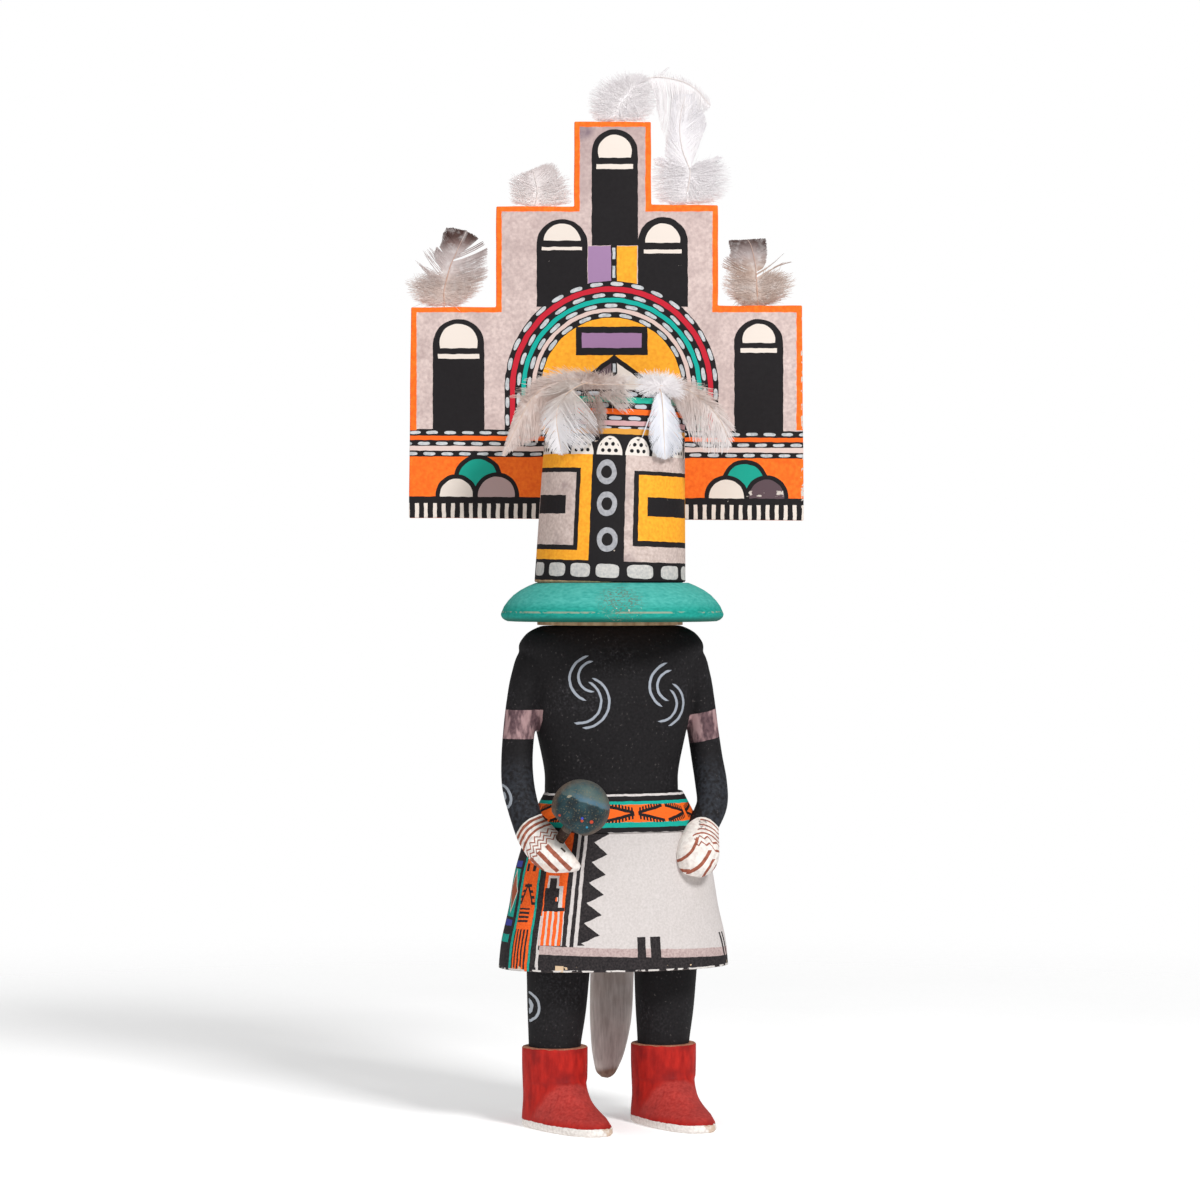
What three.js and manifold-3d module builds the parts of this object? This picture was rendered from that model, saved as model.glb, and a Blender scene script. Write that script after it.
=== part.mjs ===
import * as THREE from "three";
import { mergeVertices } from "three/addons/utils/BufferGeometryUtils.js";
import Module from "manifold-3d";

// A carved and painted wooden kachina doll, about 430 mm tall with its feathers.
// Millimetres, +Z up. The mask faces -Y, and left and right are as seen from the front.

// Driving dimensions of the whole doll
const gap = 0.3; // between pieces that touch
const bodyTurn = 15.5; // degrees that the body is turned to the right under the mask
const bodyAxis = [0.2, 10]; // x and y of the body's upright axis
const maskAxis = [-0.4, 6]; // x and y of the mask's axis at its foot
const shoulderTop = 200.9; // where the head stands on the shoulders
const maskFoot = 218.4; // where the mask rests over the ruff
const maskTop = 294.5;
const hem = 64; // lower edge of the kilt
const sashTop = 134.4;
const bootTop = 32;

const wasm = await Module();
wasm.setup();

// Working with closed solids

function solidOf(geometry) {
  const bare = geometry.clone();
  bare.deleteAttribute("normal");
  bare.deleteAttribute("uv");
  const merged = mergeVertices(bare, 1e-3);
  return new wasm.Manifold(
    new wasm.Mesh({
      numProp: 3,
      vertProperties: new Float32Array(merged.attributes.position.array),
      triVerts: new Uint32Array(merged.index.array),
    }),
  );
}

function geometryOf(solid) {
  const mesh = solid.getMesh();
  const geometry = new THREE.BufferGeometry();
  geometry.setAttribute("position", new THREE.BufferAttribute(mesh.vertProperties, 3));
  geometry.setIndex(new THREE.BufferAttribute(mesh.triVerts, 1));
  geometry.computeVertexNormals();
  return geometry;
}

// A solid through rings of equal point counts, each counterclockwise seen from the last ring's side
function loft(rings) {
  const count = rings[0].length;
  const places = rings.flat().flatMap((point) => [point.x, point.y, point.z]);
  const faces = [];
  for (let level = 0; level + 1 < rings.length; level++)
    for (let side = 0; side < count; side++) {
      const a = level * count + side;
      const b = level * count + ((side + 1) % count);
      faces.push(a, b, b + count, a, b + count, a + count);
    }
  const last = (rings.length - 1) * count;
  for (let side = 1; side + 1 < count; side++) {
    faces.push(0, side + 1, side);
    faces.push(last, last + side, last + side + 1);
  }
  const geometry = new THREE.BufferGeometry();
  geometry.setAttribute("position", new THREE.Float32BufferAttribute(places, 3));
  geometry.setIndex(faces);
  return geometry;
}

// Rows of numbers with smooth rows worked out between them
function smoothed(rows, steps) {
  const blend = (a, b, c, d, t) =>
    b + (t * (c - a + t * (2 * a - 5 * b + 4 * c - d + t * (3 * (b - c) + d - a)))) / 2;
  const row = (i) => rows[Math.min(Math.max(i, 0), rows.length - 1)];
  const result = [];
  for (let i = 0; i + 1 < rows.length; i++)
    for (let k = 0; k < steps; k++)
      result.push(
        rows[i].map((_, n) =>
          blend(row(i - 1)[n], row(i)[n], row(i + 1)[n], row(i + 2)[n], k / steps),
        ),
      );
  result.push(rows.at(-1));
  return result;
}

// A level ring, fuller at its corners than an ellipse where fullness is over 2
function levelRing(height, halfWidth, halfDepth, x, y, fullness, count) {
  return Array.from({ length: count }, (_, i) => {
    const angle = (2 * Math.PI * i) / count;
    const round = (value) => Math.sign(value) * Math.abs(value) ** (2 / fullness);
    return new THREE.Vector3(
      x + halfWidth * round(Math.cos(angle)),
      y + halfDepth * round(Math.sin(angle)),
      height,
    );
  });
}

// A limb or a feather: rows of x, y, z, half its width and half its thickness, which lies along Y
function limb(rows, count) {
  const points = rows.map(([x, y, z]) => new THREE.Vector3(x, y, z));
  return loft(
    rows.map(([, , , wide, thin], i) => {
      const before = points[Math.max(i - 1, 0)];
      const after = points[Math.min(i + 1, points.length - 1)];
      const along = after.clone().sub(before).normalize();
      const deep = new THREE.Vector3(0, 1, 0).addScaledVector(along, -along.y).normalize();
      const across = deep.clone().cross(along);
      return Array.from({ length: count }, (_, k) => {
        const angle = (2 * Math.PI * k) / count;
        return points[i]
          .clone()
          .addScaledVector(across, wide * Math.cos(angle))
          .addScaledVector(deep, thin * Math.sin(angle));
      });
    }),
  );
}

// A round rod between two points
function rod(from, to, radius, count) {
  const start = new THREE.Vector3(...from);
  const end = new THREE.Vector3(...to);
  const length = start.distanceTo(end);
  const geometry = new THREE.CylinderGeometry(radius, radius, length, count);
  const turn = new THREE.Quaternion().setFromUnitVectors(
    new THREE.Vector3(0, 1, 0),
    end.clone().sub(start).normalize(),
  );
  geometry.applyQuaternion(turn);
  geometry.translate(...start.add(end).multiplyScalar(0.5).toArray());
  return geometry;
}

// From the body's own frame, which faces -Y on its own axis, to the doll's frame
const bodyFrame = new THREE.Matrix4()
  .makeRotationZ(THREE.MathUtils.degToRad(bodyTurn))
  .setPosition(bodyAxis[0], bodyAxis[1], 0);

// The figure: one carving from the shoulders to the soles

function torso() {
  // height, half width, half depth
  const rows = [
    [118, 27, 18],
    [134, 27.1, 18.4],
    [143, 27.3, 18.3],
    [157, 30.2, 19.8],
    [164, 31.8, 20.6],
    [174, 33, 21.3],
    [185, 35, 21.2],
    [192, 38, 20.4],
    [196.8, 35.6, 18.8],
    [199.2, 32.4, 17.5],
    [shoulderTop, 28.4, 16],
  ];
  return loft(rows.map(([z, a, b]) => levelRing(z, a, b, 0, 0, 2.3, 36)));
}

function arm(side, wrist) {
  const rows = [
    [side * 20, 0, 191.5, 5.4, 8],
    [side * 30.2, 0, 188, 7.4, 10.5],
    [side * 34.2, 0.3, 180, 7.1, 9.4],
    [side * 36.8, 0.4, 169, 6.6, 7.6],
    [side * 38.5, 0, 158, 6.3, 7],
    [side * 39.7, -1.8, 147, 6.3, 6.8],
    [side * 40.2, -5.6, 137.5, 6.5, 6.6],
    [side * 39.3, -10, 129, 6.3, 6],
    wrist,
  ];
  return limb(smoothed(rows, 2), 12);
}

// The left hand is a flat leaf that points down to the right, around the rattle's handle
const leftWrist = [-37.8, -13.5, 122, 6.4, 5.4];
const leftHand = [
  [-38.4, -10.8, 126.5, 5.6, 4.8],
  leftWrist,
  [-35.8, -21, 117, 7.7, 6.8],
  [-32, -26.2, 111.1, 7.4, 7],
  [-26.6, -29.8, 108, 4.5, 5],
  [-21.8, -32, 105.8, 1.3, 1.8],
];

// The right hand is a round fist
const rightWrist = [35, -13, 121.4, 6.2, 5.4];
const rightHand = [
  [36.6, -11, 125.4, 5.4, 4.6],
  rightWrist,
  [31.6, -18.6, 114.6, 8.1, 6.9],
  [29.8, -21, 109.2, 8.8, 7.5],
  [28.2, -21.8, 104.2, 7.2, 6.4],
  [27.4, -22, 101, 3.4, 3.2],
];

// The kilt and the painted sash above it, whose lower edge stands out a little
function kilt() {
  const shift = 1; // to the right of the body's axis
  const sashEdge = 119.2;
  const rows = [
    [hem, 46.4, 28],
    [hem + 0.6, 47, 28.5],
    [75, 45.9, 27.6],
    [88, 42.9, 26.4],
    [103, 40.3, 24.8],
    [sashEdge - 0.3, 35.5, 22.3],
    [sashEdge, 36.3, 23],
    [126, 32.6, 21.4],
    [sashTop - 1, 28.6, 19.7],
    [sashTop, 27.6, 18.9],
  ];
  return loft(rows.map(([z, a, b]) => levelRing(z, a, b, shift, 0, 2.15, 44)));
}

const legTops = [
  [-21.1, 3],
  [23.8, 3.2],
];
const ankles = [
  [-22.8, 2.9],
  [22.8, 3.3],
];

function leg([topX, topY], [ankleX, ankleY]) {
  const rows = [
    [topX, topY, hem + 6, 13.1],
    [(topX + ankleX) / 2, (topY + ankleY) / 2, 48, 11.9],
    [ankleX, ankleY, bootTop + 2, 10.6],
    [ankleX, ankleY, bootTop - 4, 10.4],
  ];
  return loft(rows.reverse().map(([x, y, z, r]) => levelRing(z, r, r, x, y, 2, 20)));
}

// How many degrees each foot is turned to the right on the body
const toeTurns = [12.5, 7];

// A boot: round shaft, low rounded foot and a flat sole
function boot([x, y], turn) {
  const heel = 13.2;
  // height, half width, reach of the toe, how square the toe is
  const rows = [
    [0, 12.6, 39.5, 2.3],
    [0.8, 13.3, 40.6, 2.3],
    [2.4, 13.4, 40.4, 2.3],
    [5.5, 13.2, 36.2, 2.1],
    [8.5, 12.9, 29.6, 1.75],
    [11, 12.7, 25, 1.6],
    [13.5, 12.7, 21.6, 1.55],
    [15.5, 12.8, 18.6, 1.55],
    [17.5, 12.9, 15.6, 1.65],
    [19.5, 13, 13.4, 2],
    [25, 13.2, 13.2, 2],
    [bootTop - 0.6, 13.2, 13.2, 2],
    [bootTop, 12.6, 12.6, 2],
  ];
  const rings = rows.map(([z, wide, toe, fullness]) => {
    const front = levelRing(z, wide, toe, 0, 0, fullness, 24);
    const back = levelRing(z, wide, Math.min(toe, heel), 0, 0, 2, 24);
    return front.map((point, i) => (point.y < 0 ? point : back[i]));
  });
  return loft(rings).rotateZ(THREE.MathUtils.degToRad(turn)).translate(x, y, 0);
}

// The rattle's handle and the hole for it in the left fist
const rattleCentre = [-11.9, -31, 129.8];
const handleEnd = [-22.6, -24.2, 113.2];
const handleRadius = 2.1;

function figure() {
  const parts = [
    torso(),
    arm(-1, leftWrist),
    arm(1, rightWrist),
    limb(smoothed(leftHand, 2), 14),
    limb(smoothed(rightHand, 2), 14),
    kilt(),
    ...legTops.map((top, i) => leg(top, ankles[i])),
    ...ankles.map((ankle, i) => boot(ankle, toeTurns[i])),
  ];
  const carving = parts.map((part) => solidOf(part)).reduce((whole, part) => whole.add(part));
  const placed = solidOf(geometryOf(carving).applyMatrix4(bodyFrame));
  const below = new THREE.Vector3(...handleEnd)
    .lerp(new THREE.Vector3(...rattleCentre), -0.03)
    .toArray();
  return placed.subtract(solidOf(rod(below, rattleCentre, handleRadius + gap, 14)));
}

// The rattle: a painted ball a little flattened below, on a short handle

function rattle() {
  const ball = new THREE.SphereGeometry(11.5, 20, 12);
  const place = ball.attributes.position;
  for (let i = 0; i < place.count; i++) {
    const low = Math.max(0, -place.getX(i) * 0.6 - place.getZ(i) * 0.8 - 8);
    place.setXYZ(
      i,
      place.getX(i) + low * 0.3,
      place.getY(i),
      place.getZ(i) * 0.97 + low * 0.4,
    );
  }
  ball.translate(...rattleCentre);
  return solidOf(ball).add(solidOf(rod(handleEnd, rattleCentre, handleRadius, 10)));
}

// The carved fox pelt hangs behind the kilt, following its flare, then straight down

function foxPelt() {
  // x, y and z in the body's frame, half the width, half the thickness
  const rows = [
    [9.4, 23.4, 131.5, 3.4, 1.6],
    [9.6, 25.4, 126, 7.2, 2.9],
    [9.8, 28.1, 110, 9.2, 3.3],
    [9.9, 30.9, 90, 9.8, 3.6],
    [9.9, 33, 70, 9.3, 3.7],
    [9.6, 33.6, 54, 9.2, 3.7],
    [9.1, 33.6, 39, 8.8, 3.6],
    [8.1, 33.6, 26.5, 7, 3.3],
    [7.2, 33.6, 20, 5, 2.8],
    [6.5, 33.6, 14.7, 1.2, 0.9],
  ];
  return solidOf(limb(smoothed(rows, 2), 12).applyMatrix4(bodyFrame));
}

// The mask: a slightly tapered and leaning cylinder, its foot inside the ruff, with a notch at
// the back that the board stands in

const boardFront = 23.3;
const boardThick = 5;
const boardMiddle = boardFront + boardThick / 2;
const footRadius = 29.2;
const holeRadius = 1.2; // for quills
const quillRadius = 0.8;

function mask() {
  const lean = 2.4; // to the right, at the top
  // height, radius, share of the lean
  const rows = [
    [shoulderTop + gap, footRadius, 0],
    [maskFoot, footRadius, 0],
    [maskFoot, 30.3, 0],
    [maskTop - 0.9, 27.5, 1],
    [maskTop, 26.6, 1],
  ];
  const [x, y] = maskAxis;
  const head = loft(rows.map(([z, r, share]) => levelRing(z, r, r, x + lean * share, y, 2, 48)));
  const notch = new THREE.BoxGeometry(80, 40, 80);
  notch.translate(0, boardFront - gap + 20, 243.1 + 40);
  return solidOf(head).subtract(solidOf(notch));
}

// The ruff: a bell-shaped ring around the head's foot

function ruff() {
  const ringCentre = 0.5;
  const profile = [
    [0, 202.8],
    [40.2, 202.6],
    [43.2, 203.2],
    [44.6, 204.8],
    [44.4, 206.4],
    [43.4, 208.7],
    [41.8, 210.9],
    [39.6, 213.2],
    [36.8, 215.2],
    [33.5, 216.9],
    [30.4, maskFoot - gap],
    [0, maskFoot - gap],
  ];
  const points = profile.map(([radius, height]) => new THREE.Vector2(radius, height));
  const bell = new THREE.LatheGeometry(points, 40).rotateX(Math.PI / 2);
  bell.translate(ringCentre, maskAxis[1], 0);
  const [x, y] = maskAxis;
  const hole = rod([x, y, 195], [x, y, 225], footRadius + gap, 40);
  return solidOf(bell).subtract(solidOf(hole));
}

// The tablita: a board with three steps on each side

const stepTop = { left: 329.9, right: 330.6 }; // top of the wide lower part
const middleTop = { left: 370.8, right: 371.4 };
const boardTop = 405.1;

function tablita(quills) {
  const outline = new THREE.Shape();
  outline.moveTo(-82, 244.4);
  outline.lineTo(78.3, 243.4);
  outline.lineTo(77.6, stepTop.right);
  outline.lineTo(43.5, stepTop.right);
  outline.lineTo(43.5, middleTop.right);
  outline.lineTo(16.3, middleTop.right);
  outline.lineTo(16.3, boardTop);
  outline.lineTo(-14.9, boardTop);
  outline.lineTo(-14.9, middleTop.left);
  outline.lineTo(-46.6, middleTop.left);
  outline.lineTo(-46.6, stepTop.left);
  outline.lineTo(-81.1, stepTop.left);
  outline.closePath();
  const board = new THREE.ExtrudeGeometry(outline, { depth: boardThick, bevelEnabled: false });
  board.rotateX(Math.PI / 2).translate(0, boardFront + boardThick, 0);
  return drilled(solidOf(board), quills);
}

// Feathers. Each board feather is rows of height, left edge and right edge, from its foot to
// its tip, with the puff of its down, and the foot of its quill in the board's edge. The top one
// has a long plume too, rows of x, y, z and half its width, which droops to the right.

const boardFeathers = {
  feather_step_3_left: {
    quill: [-67.4, stepTop.left],
    rows: [
      [331.2, -76, -60, 2],
      [333.5, -82, -54.5, 3.2],
      [338.5, -83.4, -50.9, 3.6],
      [342.5, -84.1, -51.2, 3],
      [346.8, -78, -50.8, 2],
      [351.7, -74.6, -50.2, 1.4],
      [356.6, -71.2, -51, 1.1],
      [359.9, -69.4, -55.4, 0.9],
      [362.4, -66.6, -61.4, 0.7],
    ],
  },
  feather_step_2_left: {
    quill: [-31, middleTop.left],
    rows: [
      [372.1, -40, -20, 1.8],
      [374.6, -41.6, -16.2, 2.6],
      [379.4, -41.4, -16.6, 2.4],
      [384.2, -39.6, -18.4, 1.7],
      [387, -33.6, -20.2, 1.2],
      [389.4, -26.6, -22.6, 0.8],
    ],
  },
  feather_top: {
    quill: [1.6, boardTop],
    rows: [
      [406.3, -7, 17, 2.6],
      [409.4, -10.6, 21.4, 4],
      [414.3, -10.2, 23, 4.6],
      [419.2, -8, 27, 4.2],
      [423.5, -2.6, 26.4, 3],
      [426.6, 3, 20.6, 1.8],
      [428, 8, 15, 1],
    ],
    plume: [
      [14, 24, 421, 4],
      [22, 22, 422, 3.6],
      [29.6, 20.6, 420, 3.2],
      [36, 20, 415, 2.4],
      [39, 20, 410, 1],
    ],
  },
  feather_step_2_right: {
    quill: [30.4, middleTop.right],
    rows: [
      [372.7, 20, 44, 2.2],
      [375.4, 17.3, 48.8, 3.6],
      [381, 17.2, 50, 4],
      [386.5, 17.3, 47.6, 3.4],
      [390, 18.4, 42, 2.4],
      [394, 20.8, 34.4, 1.6],
      [401, 18.8, 36.6, 1.2],
      [407, 20.4, 37.2, 1],
      [412.5, 25.4, 38.4, 0.8],
      [416, 32, 40, 0.6],
    ],
  },
  feather_step_3_right: {
    quill: [59.8, stepTop.right],
    rows: [
      [331.9, 49, 69, 2],
      [334.4, 45.6, 74, 3.2],
      [339.8, 44.6, 76.4, 3.6],
      [344.4, 44.6, 74, 3],
      [348.6, 44.8, 67, 2],
      [353.5, 44.9, 63.6, 1.3],
      [356.8, 46.4, 63.2, 1],
      [358.9, 56.6, 62.6, 0.7],
    ],
  },
};

function boardFeather({ quill: [x, edge], rows, plume }) {
  const level = ([z, left, right, puff]) =>
    levelRing(z, (right - left) / 2, puff, (left + right) / 2, boardMiddle, 2, 8);
  let feather = solidOf(loft(rows.map(level)));
  if (plume) {
    const drooping = plume.map(([px, py, pz, wide]) => [px, py, pz, wide, 1]);
    feather = feather.add(solidOf(limb(smoothed(drooping, 2), 8)));
  }
  const shaft = rod([x, boardMiddle, edge - 6], [x, boardMiddle, edge + 8], quillRadius, 6);
  return feather.add(solidOf(shaft));
}

// Each feather of the head's cluster stands in the top of the mask and droops: rows of x, y
// and z, half the width and half the thickness, from its foot to its tip.

const headFeathers = {
  feather_head_front_left: [
    [-2.8, -15, 297.6, 1.4, 1.1],
    [-9.2, -23.6, 297, 3.6, 1.3],
    [-17, -27, 289, 8, 1.5],
    [-19.4, -25.8, 279, 9.4, 1.3],
    [-18, -24, 270, 7.6, 0.8],
  ],
  feather_head_left: [
    [-5, -8, 298.4, 2.8, 1.5],
    [-16, -13, 300, 4.4, 2.2],
    [-28.6, -19, 293.4, 8.2, 2.6],
    [-36.4, -19, 283.8, 7.6, 2.4],
    [-40.6, -19, 274, 4.6, 1.6],
    [-42.8, -19, 267.4, 1.2, 0.8],
  ],
  feather_head_down: [
    [-17, 4, 298.3, 1.6, 2],
    [-8, 4, 298.4, 3, 4.6],
    [4, 4, 298.2, 2.9, 5],
    [17, 4, 298.6, 3.2, 4.8],
    [27, 4, 299, 3, 3.6],
    [31.6, 4, 299.4, 1.2, 1.6],
  ],
  feather_head_front_right: [
    [18, -9.6, 297.8, 1.4, 1.1],
    [20, -19.4, 296.6, 2.6, 1.3],
    [21.4, -24, 288, 5.4, 1.5],
    [22, -24, 277.4, 6.7, 1.3],
    [22.2, -22.8, 267.8, 4.8, 0.8],
  ],
  feather_head_right: [
    [21, -4.2, 298.4, 1.8, 1.1],
    [30.4, -9.6, 297, 4.2, 1.6],
    [38, -14.6, 289.4, 8, 2.6],
    [43.8, -16.4, 280, 7.6, 2.2],
    [48, -16.4, 271.6, 1.6, 0.9],
  ],
};

// Where each quill of the cluster enters the mask's top, and how deep
const headQuills = Object.fromEntries(
  Object.entries(headFeathers).map(([name, rows]) => [
    name,
    name === "feather_head_down" ? [4, 4] : [rows[0][0], rows[0][1]],
  ]),
);
const quillDepth = 6;

function headFeather(name) {
  const [x, y] = headQuills[name];
  const shaft = rod([x, y, maskTop - quillDepth], [x, y, maskTop + 4], quillRadius, 6);
  return solidOf(limb(smoothed(headFeathers[name], 2), 8)).add(solidOf(shaft));
}

// Quill holes: straight down from each point of x, y and the height of the surface
function drilled(solid, points) {
  return points.reduce(
    (whole, [x, y, z]) =>
      whole.subtract(solidOf(rod([x, y, z - quillDepth - gap], [x, y, z + 1], holeRadius, 8))),
    solid,
  );
}

// The doll

const paint = {
  black: { color: 0x2a282b, roughness: 0.75 },
  ground: { color: 0xc3afaa, roughness: 0.8 },
  teal: { color: 0x22a68c, roughness: 0.7 },
  rattle: { color: 0x3f6066, roughness: 0.5 },
  bareWood: { color: 0x91827a, roughness: 0.8 },
  down: { color: 0xd8cdc8, roughness: 0.9 },
};

const doll = new THREE.Group();

function addPiece(name, solid, finish) {
  const material = new THREE.MeshStandardMaterial({ ...finish, metalness: 0 });
  const piece = new THREE.Mesh(geometryOf(solid), material);
  piece.name = name;
  doll.add(piece);
}

const boardQuills = Object.values(boardFeathers).map(({ quill: [x, z] }) => [x, boardMiddle, z]);
const maskQuills = Object.values(headQuills).map(([x, y]) => [x, y, maskTop]);

addPiece("figure", figure(), paint.black);
addPiece("mask", drilled(mask(), maskQuills), paint.ground);
addPiece("ruff", ruff(), paint.teal);
addPiece("tablita", tablita(boardQuills), paint.ground);
addPiece("rattle", rattle(), paint.rattle);
addPiece("fox_pelt", foxPelt(), paint.bareWood);
for (const [name, shape] of Object.entries(boardFeathers))
  addPiece(name, boardFeather(shape), paint.down);
for (const name of Object.keys(headFeathers)) addPiece(name, headFeather(name), paint.down);

// The doll stands on its soles, centred over the origin
const box = new THREE.Box3().setFromObject(doll);
const centre = box.getCenter(new THREE.Vector3());
doll.position.set(-centre.x, -centre.y, -box.min.z);

export default doll;
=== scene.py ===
import functools
import math
import random

import bmesh
import bpy
from mathutils import Matrix, Vector, noise


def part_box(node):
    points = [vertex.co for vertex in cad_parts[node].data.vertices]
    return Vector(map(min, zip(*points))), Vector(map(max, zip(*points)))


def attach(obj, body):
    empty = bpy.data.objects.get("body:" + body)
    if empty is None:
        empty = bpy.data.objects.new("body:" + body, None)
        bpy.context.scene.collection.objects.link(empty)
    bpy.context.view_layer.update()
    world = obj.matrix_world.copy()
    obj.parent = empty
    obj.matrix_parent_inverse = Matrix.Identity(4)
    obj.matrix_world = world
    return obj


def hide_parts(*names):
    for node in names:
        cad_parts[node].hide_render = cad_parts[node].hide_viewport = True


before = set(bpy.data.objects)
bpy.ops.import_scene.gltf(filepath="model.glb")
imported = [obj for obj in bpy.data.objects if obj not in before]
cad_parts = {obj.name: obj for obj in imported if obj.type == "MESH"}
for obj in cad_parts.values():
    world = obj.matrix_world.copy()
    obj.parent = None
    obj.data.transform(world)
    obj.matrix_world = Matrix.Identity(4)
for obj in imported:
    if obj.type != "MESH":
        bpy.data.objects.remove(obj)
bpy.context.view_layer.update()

# The torso, arms and hands
# One carving of cottonwood root in matt black paint. The arms hang clear of the waist and bend
# forward, and the hands are white with brown lines. The body is turned a little under the mask.

MM = 0.001
ruff_low, ruff_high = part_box("ruff")
RUFF_X, RUFF_Y = 0.5, 6
# The doll's drawing is in millimetres, and its ruff stands around this axis
drawing = Matrix.Translation(
    ((ruff_low.x + ruff_high.x) / 2 - RUFF_X * MM, (ruff_low.y + ruff_high.y) / 2 - RUFF_Y * MM, 0)
) @ Matrix.Scale(MM, 4)
BODY_X, BODY_Y, body_turn = 0.2, 10, math.radians(15.5)
body_frame = (
    drawing @ Matrix.Translation((BODY_X, BODY_Y, 0)) @ Matrix.Rotation(body_turn, 4, "Z")
)
shoulder_top = 200.9


def smoothed(rows, steps):
    """Rows of numbers with smooth rows worked out between them."""
    last = len(rows) - 1
    made = []
    for i in range(last):
        four = [rows[min(max(k, 0), last)] for k in (i - 1, i, i + 1, i + 2)]
        for k in range(steps):
            t = k / steps
            made.append(
                [
                    b + t * (c - a + t * (2 * a - 5 * b + 4 * c - d + t * (3 * (b - c) + d - a))) / 2
                    for a, b, c, d in zip(*four)
                ]
            )
    return made + [list(rows[last])]


def rounded(angle, fullness=2.0):
    """A point of the unit ring, fuller at its corners than a circle where fullness is over 2."""
    parts = (math.cos(angle), math.sin(angle))
    return Vector([math.copysign(abs(part) ** (2 / fullness), part) for part in parts] + [0])


def loft(bm, rows, spot, sides):
    """A closed skin with a ring for each row; spot(row, angle) places each point of it."""
    angle = bm.verts.layers.float.get("angle") or bm.verts.layers.float.new("angle")
    ring = bmesh.ops.create_circle(bm, cap_ends=True, segments=sides, radius=1)["verts"]
    edges = list({edge for vert in ring for edge in vert.link_edges})
    for vert in ring:
        vert[angle] = math.atan2(vert.co.y, vert.co.x)
    for i, row in enumerate(rows):
        if i:
            grown = bmesh.ops.extrude_edge_only(bm, edges=edges)["geom"]
            ring = {part for part in grown if isinstance(part, bmesh.types.BMVert)}
            edges = [
                part
                for part in grown
                if isinstance(part, bmesh.types.BMEdge) and ring.issuperset(part.verts)
            ]
        for vert in ring:
            vert.co = spot(row, vert[angle])
    bmesh.ops.edgeloop_fill(bm, edges=edges)
    bmesh.ops.recalc_face_normals(bm, faces=bm.faces)


def level(x, y, fullness):
    """Level rings around an upright axis, from rows of height, half width and half depth."""

    def spot(row, angle):
        height, wide, deep = row[:3]
        side = rounded(angle, fullness)
        return Vector((x + wide * side.x, y + deep * side.y, height))

    return spot


def limb(bm, rows, sides):
    """A limb through rows of x, y, z, half width and half thickness, which lies along Y."""
    points = [Vector(row[:3]) for row in rows]
    places = []
    for i, (point, row) in enumerate(zip(points, rows)):
        along = (points[min(i + 1, len(rows) - 1)] - points[max(i - 1, 0)]).normalized()
        deep = (Vector((0, 1, 0)) - along * along.y).normalized()
        across = deep.cross(along)
        place = Matrix((across * row[3], deep * row[4], along)).transposed().to_4x4()
        places.append(Matrix.Translation(point) @ place)
    loft(bm, places, lambda place, angle: place @ rounded(angle), sides)


def settled(bm, modifiers):
    """The bmesh as these modifiers leave it: each is a type with its settings."""
    mesh = bpy.data.meshes.new("settled")
    bm.to_mesh(mesh)
    holder = bpy.data.objects.new("settled", mesh)
    bpy.context.scene.collection.objects.link(holder)
    for kind, settings in modifiers:
        modifier = holder.modifiers.new(kind.lower(), kind)
        for name, value in settings.items():
            setattr(modifier, name, value)
    shown = holder.evaluated_get(bpy.context.evaluated_depsgraph_get())
    result = bpy.data.meshes.new_from_object(shown)
    bm.clear()
    bm.from_mesh(result)
    bpy.data.objects.remove(holder)
    bpy.data.meshes.remove(mesh)
    bpy.data.meshes.remove(result)


torso_rows = [
    [118, 27, 18],
    [134, 27.1, 18.4],
    [143, 27.3, 18.3],
    [157, 30.2, 19.8],
    [164, 31.8, 20.6],
    [174, 33, 21.3],
    [185, 35, 21.2],
    [192, 38, 20.4],
    [196.8, 35.6, 18.8],
    [199.2, 32.4, 17.5],
    [shoulder_top, 28.4, 16],
]
arm_rows = [
    [20, 0, 191.5, 5.4, 8],
    [30.2, 0, 188, 7.4, 10.5],
    [34.2, 0.3, 180, 7.1, 9.4],
    [36.8, 0.4, 169, 6.6, 7.6],
    [38.5, 0, 158, 6.3, 7],
    [39.7, -1.8, 147, 6.3, 6.8],
    [40.2, -5.6, 137.5, 6.5, 6.6],
    [39.3, -10, 129, 6.3, 6],
]
left_wrist = [-37.8, -13.5, 122, 6.4, 5.4]
left_hand_rows = [
    [-38.4, -10.8, 126.5, 5.6, 4.8],
    left_wrist,
    [-35.8, -21, 117, 7.7, 6.8],
    [-32, -26.2, 111.1, 7.4, 7],
    [-26.6, -29.8, 108, 4.5, 5],
    [-21.8, -32, 105.8, 1.3, 1.8],
]
right_wrist = [35, -13, 121.4, 6.2, 5.4]
right_hand_rows = [
    [36.6, -11, 125.4, 5.4, 4.6],
    right_wrist,
    [31.6, -18.6, 114.6, 8.1, 6.9],
    [29.8, -21, 109.2, 8.8, 7.5],
    [28.2, -21.8, 104.2, 7.2, 6.4],
    [27.4, -22, 101, 3.4, 3.2],
]
body = bmesh.new()
loft(body, smoothed(torso_rows, 4), level(0, 0, 2.3), 96)
for side, wrist in ((-1, left_wrist), (1, right_wrist)):
    arm = [[side * row[0], *row[1:]] for row in arm_rows]
    limb(body, smoothed([*arm, wrist], 5), 40)
for hand in (left_hand_rows, right_hand_rows):
    limb(body, smoothed(hand, 6), 40)
bmesh.ops.transform(body, matrix=body_frame, verts=body.verts)
body_voxel = 0.75 * MM
settled(body, [("REMESH", {"mode": "VOXEL", "voxel_size": body_voxel})])
for _ in range(3):
    bmesh.ops.smooth_vert(
        body, verts=body.verts, factor=0.5, use_axis_x=True, use_axis_y=True, use_axis_z=True
    )


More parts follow.
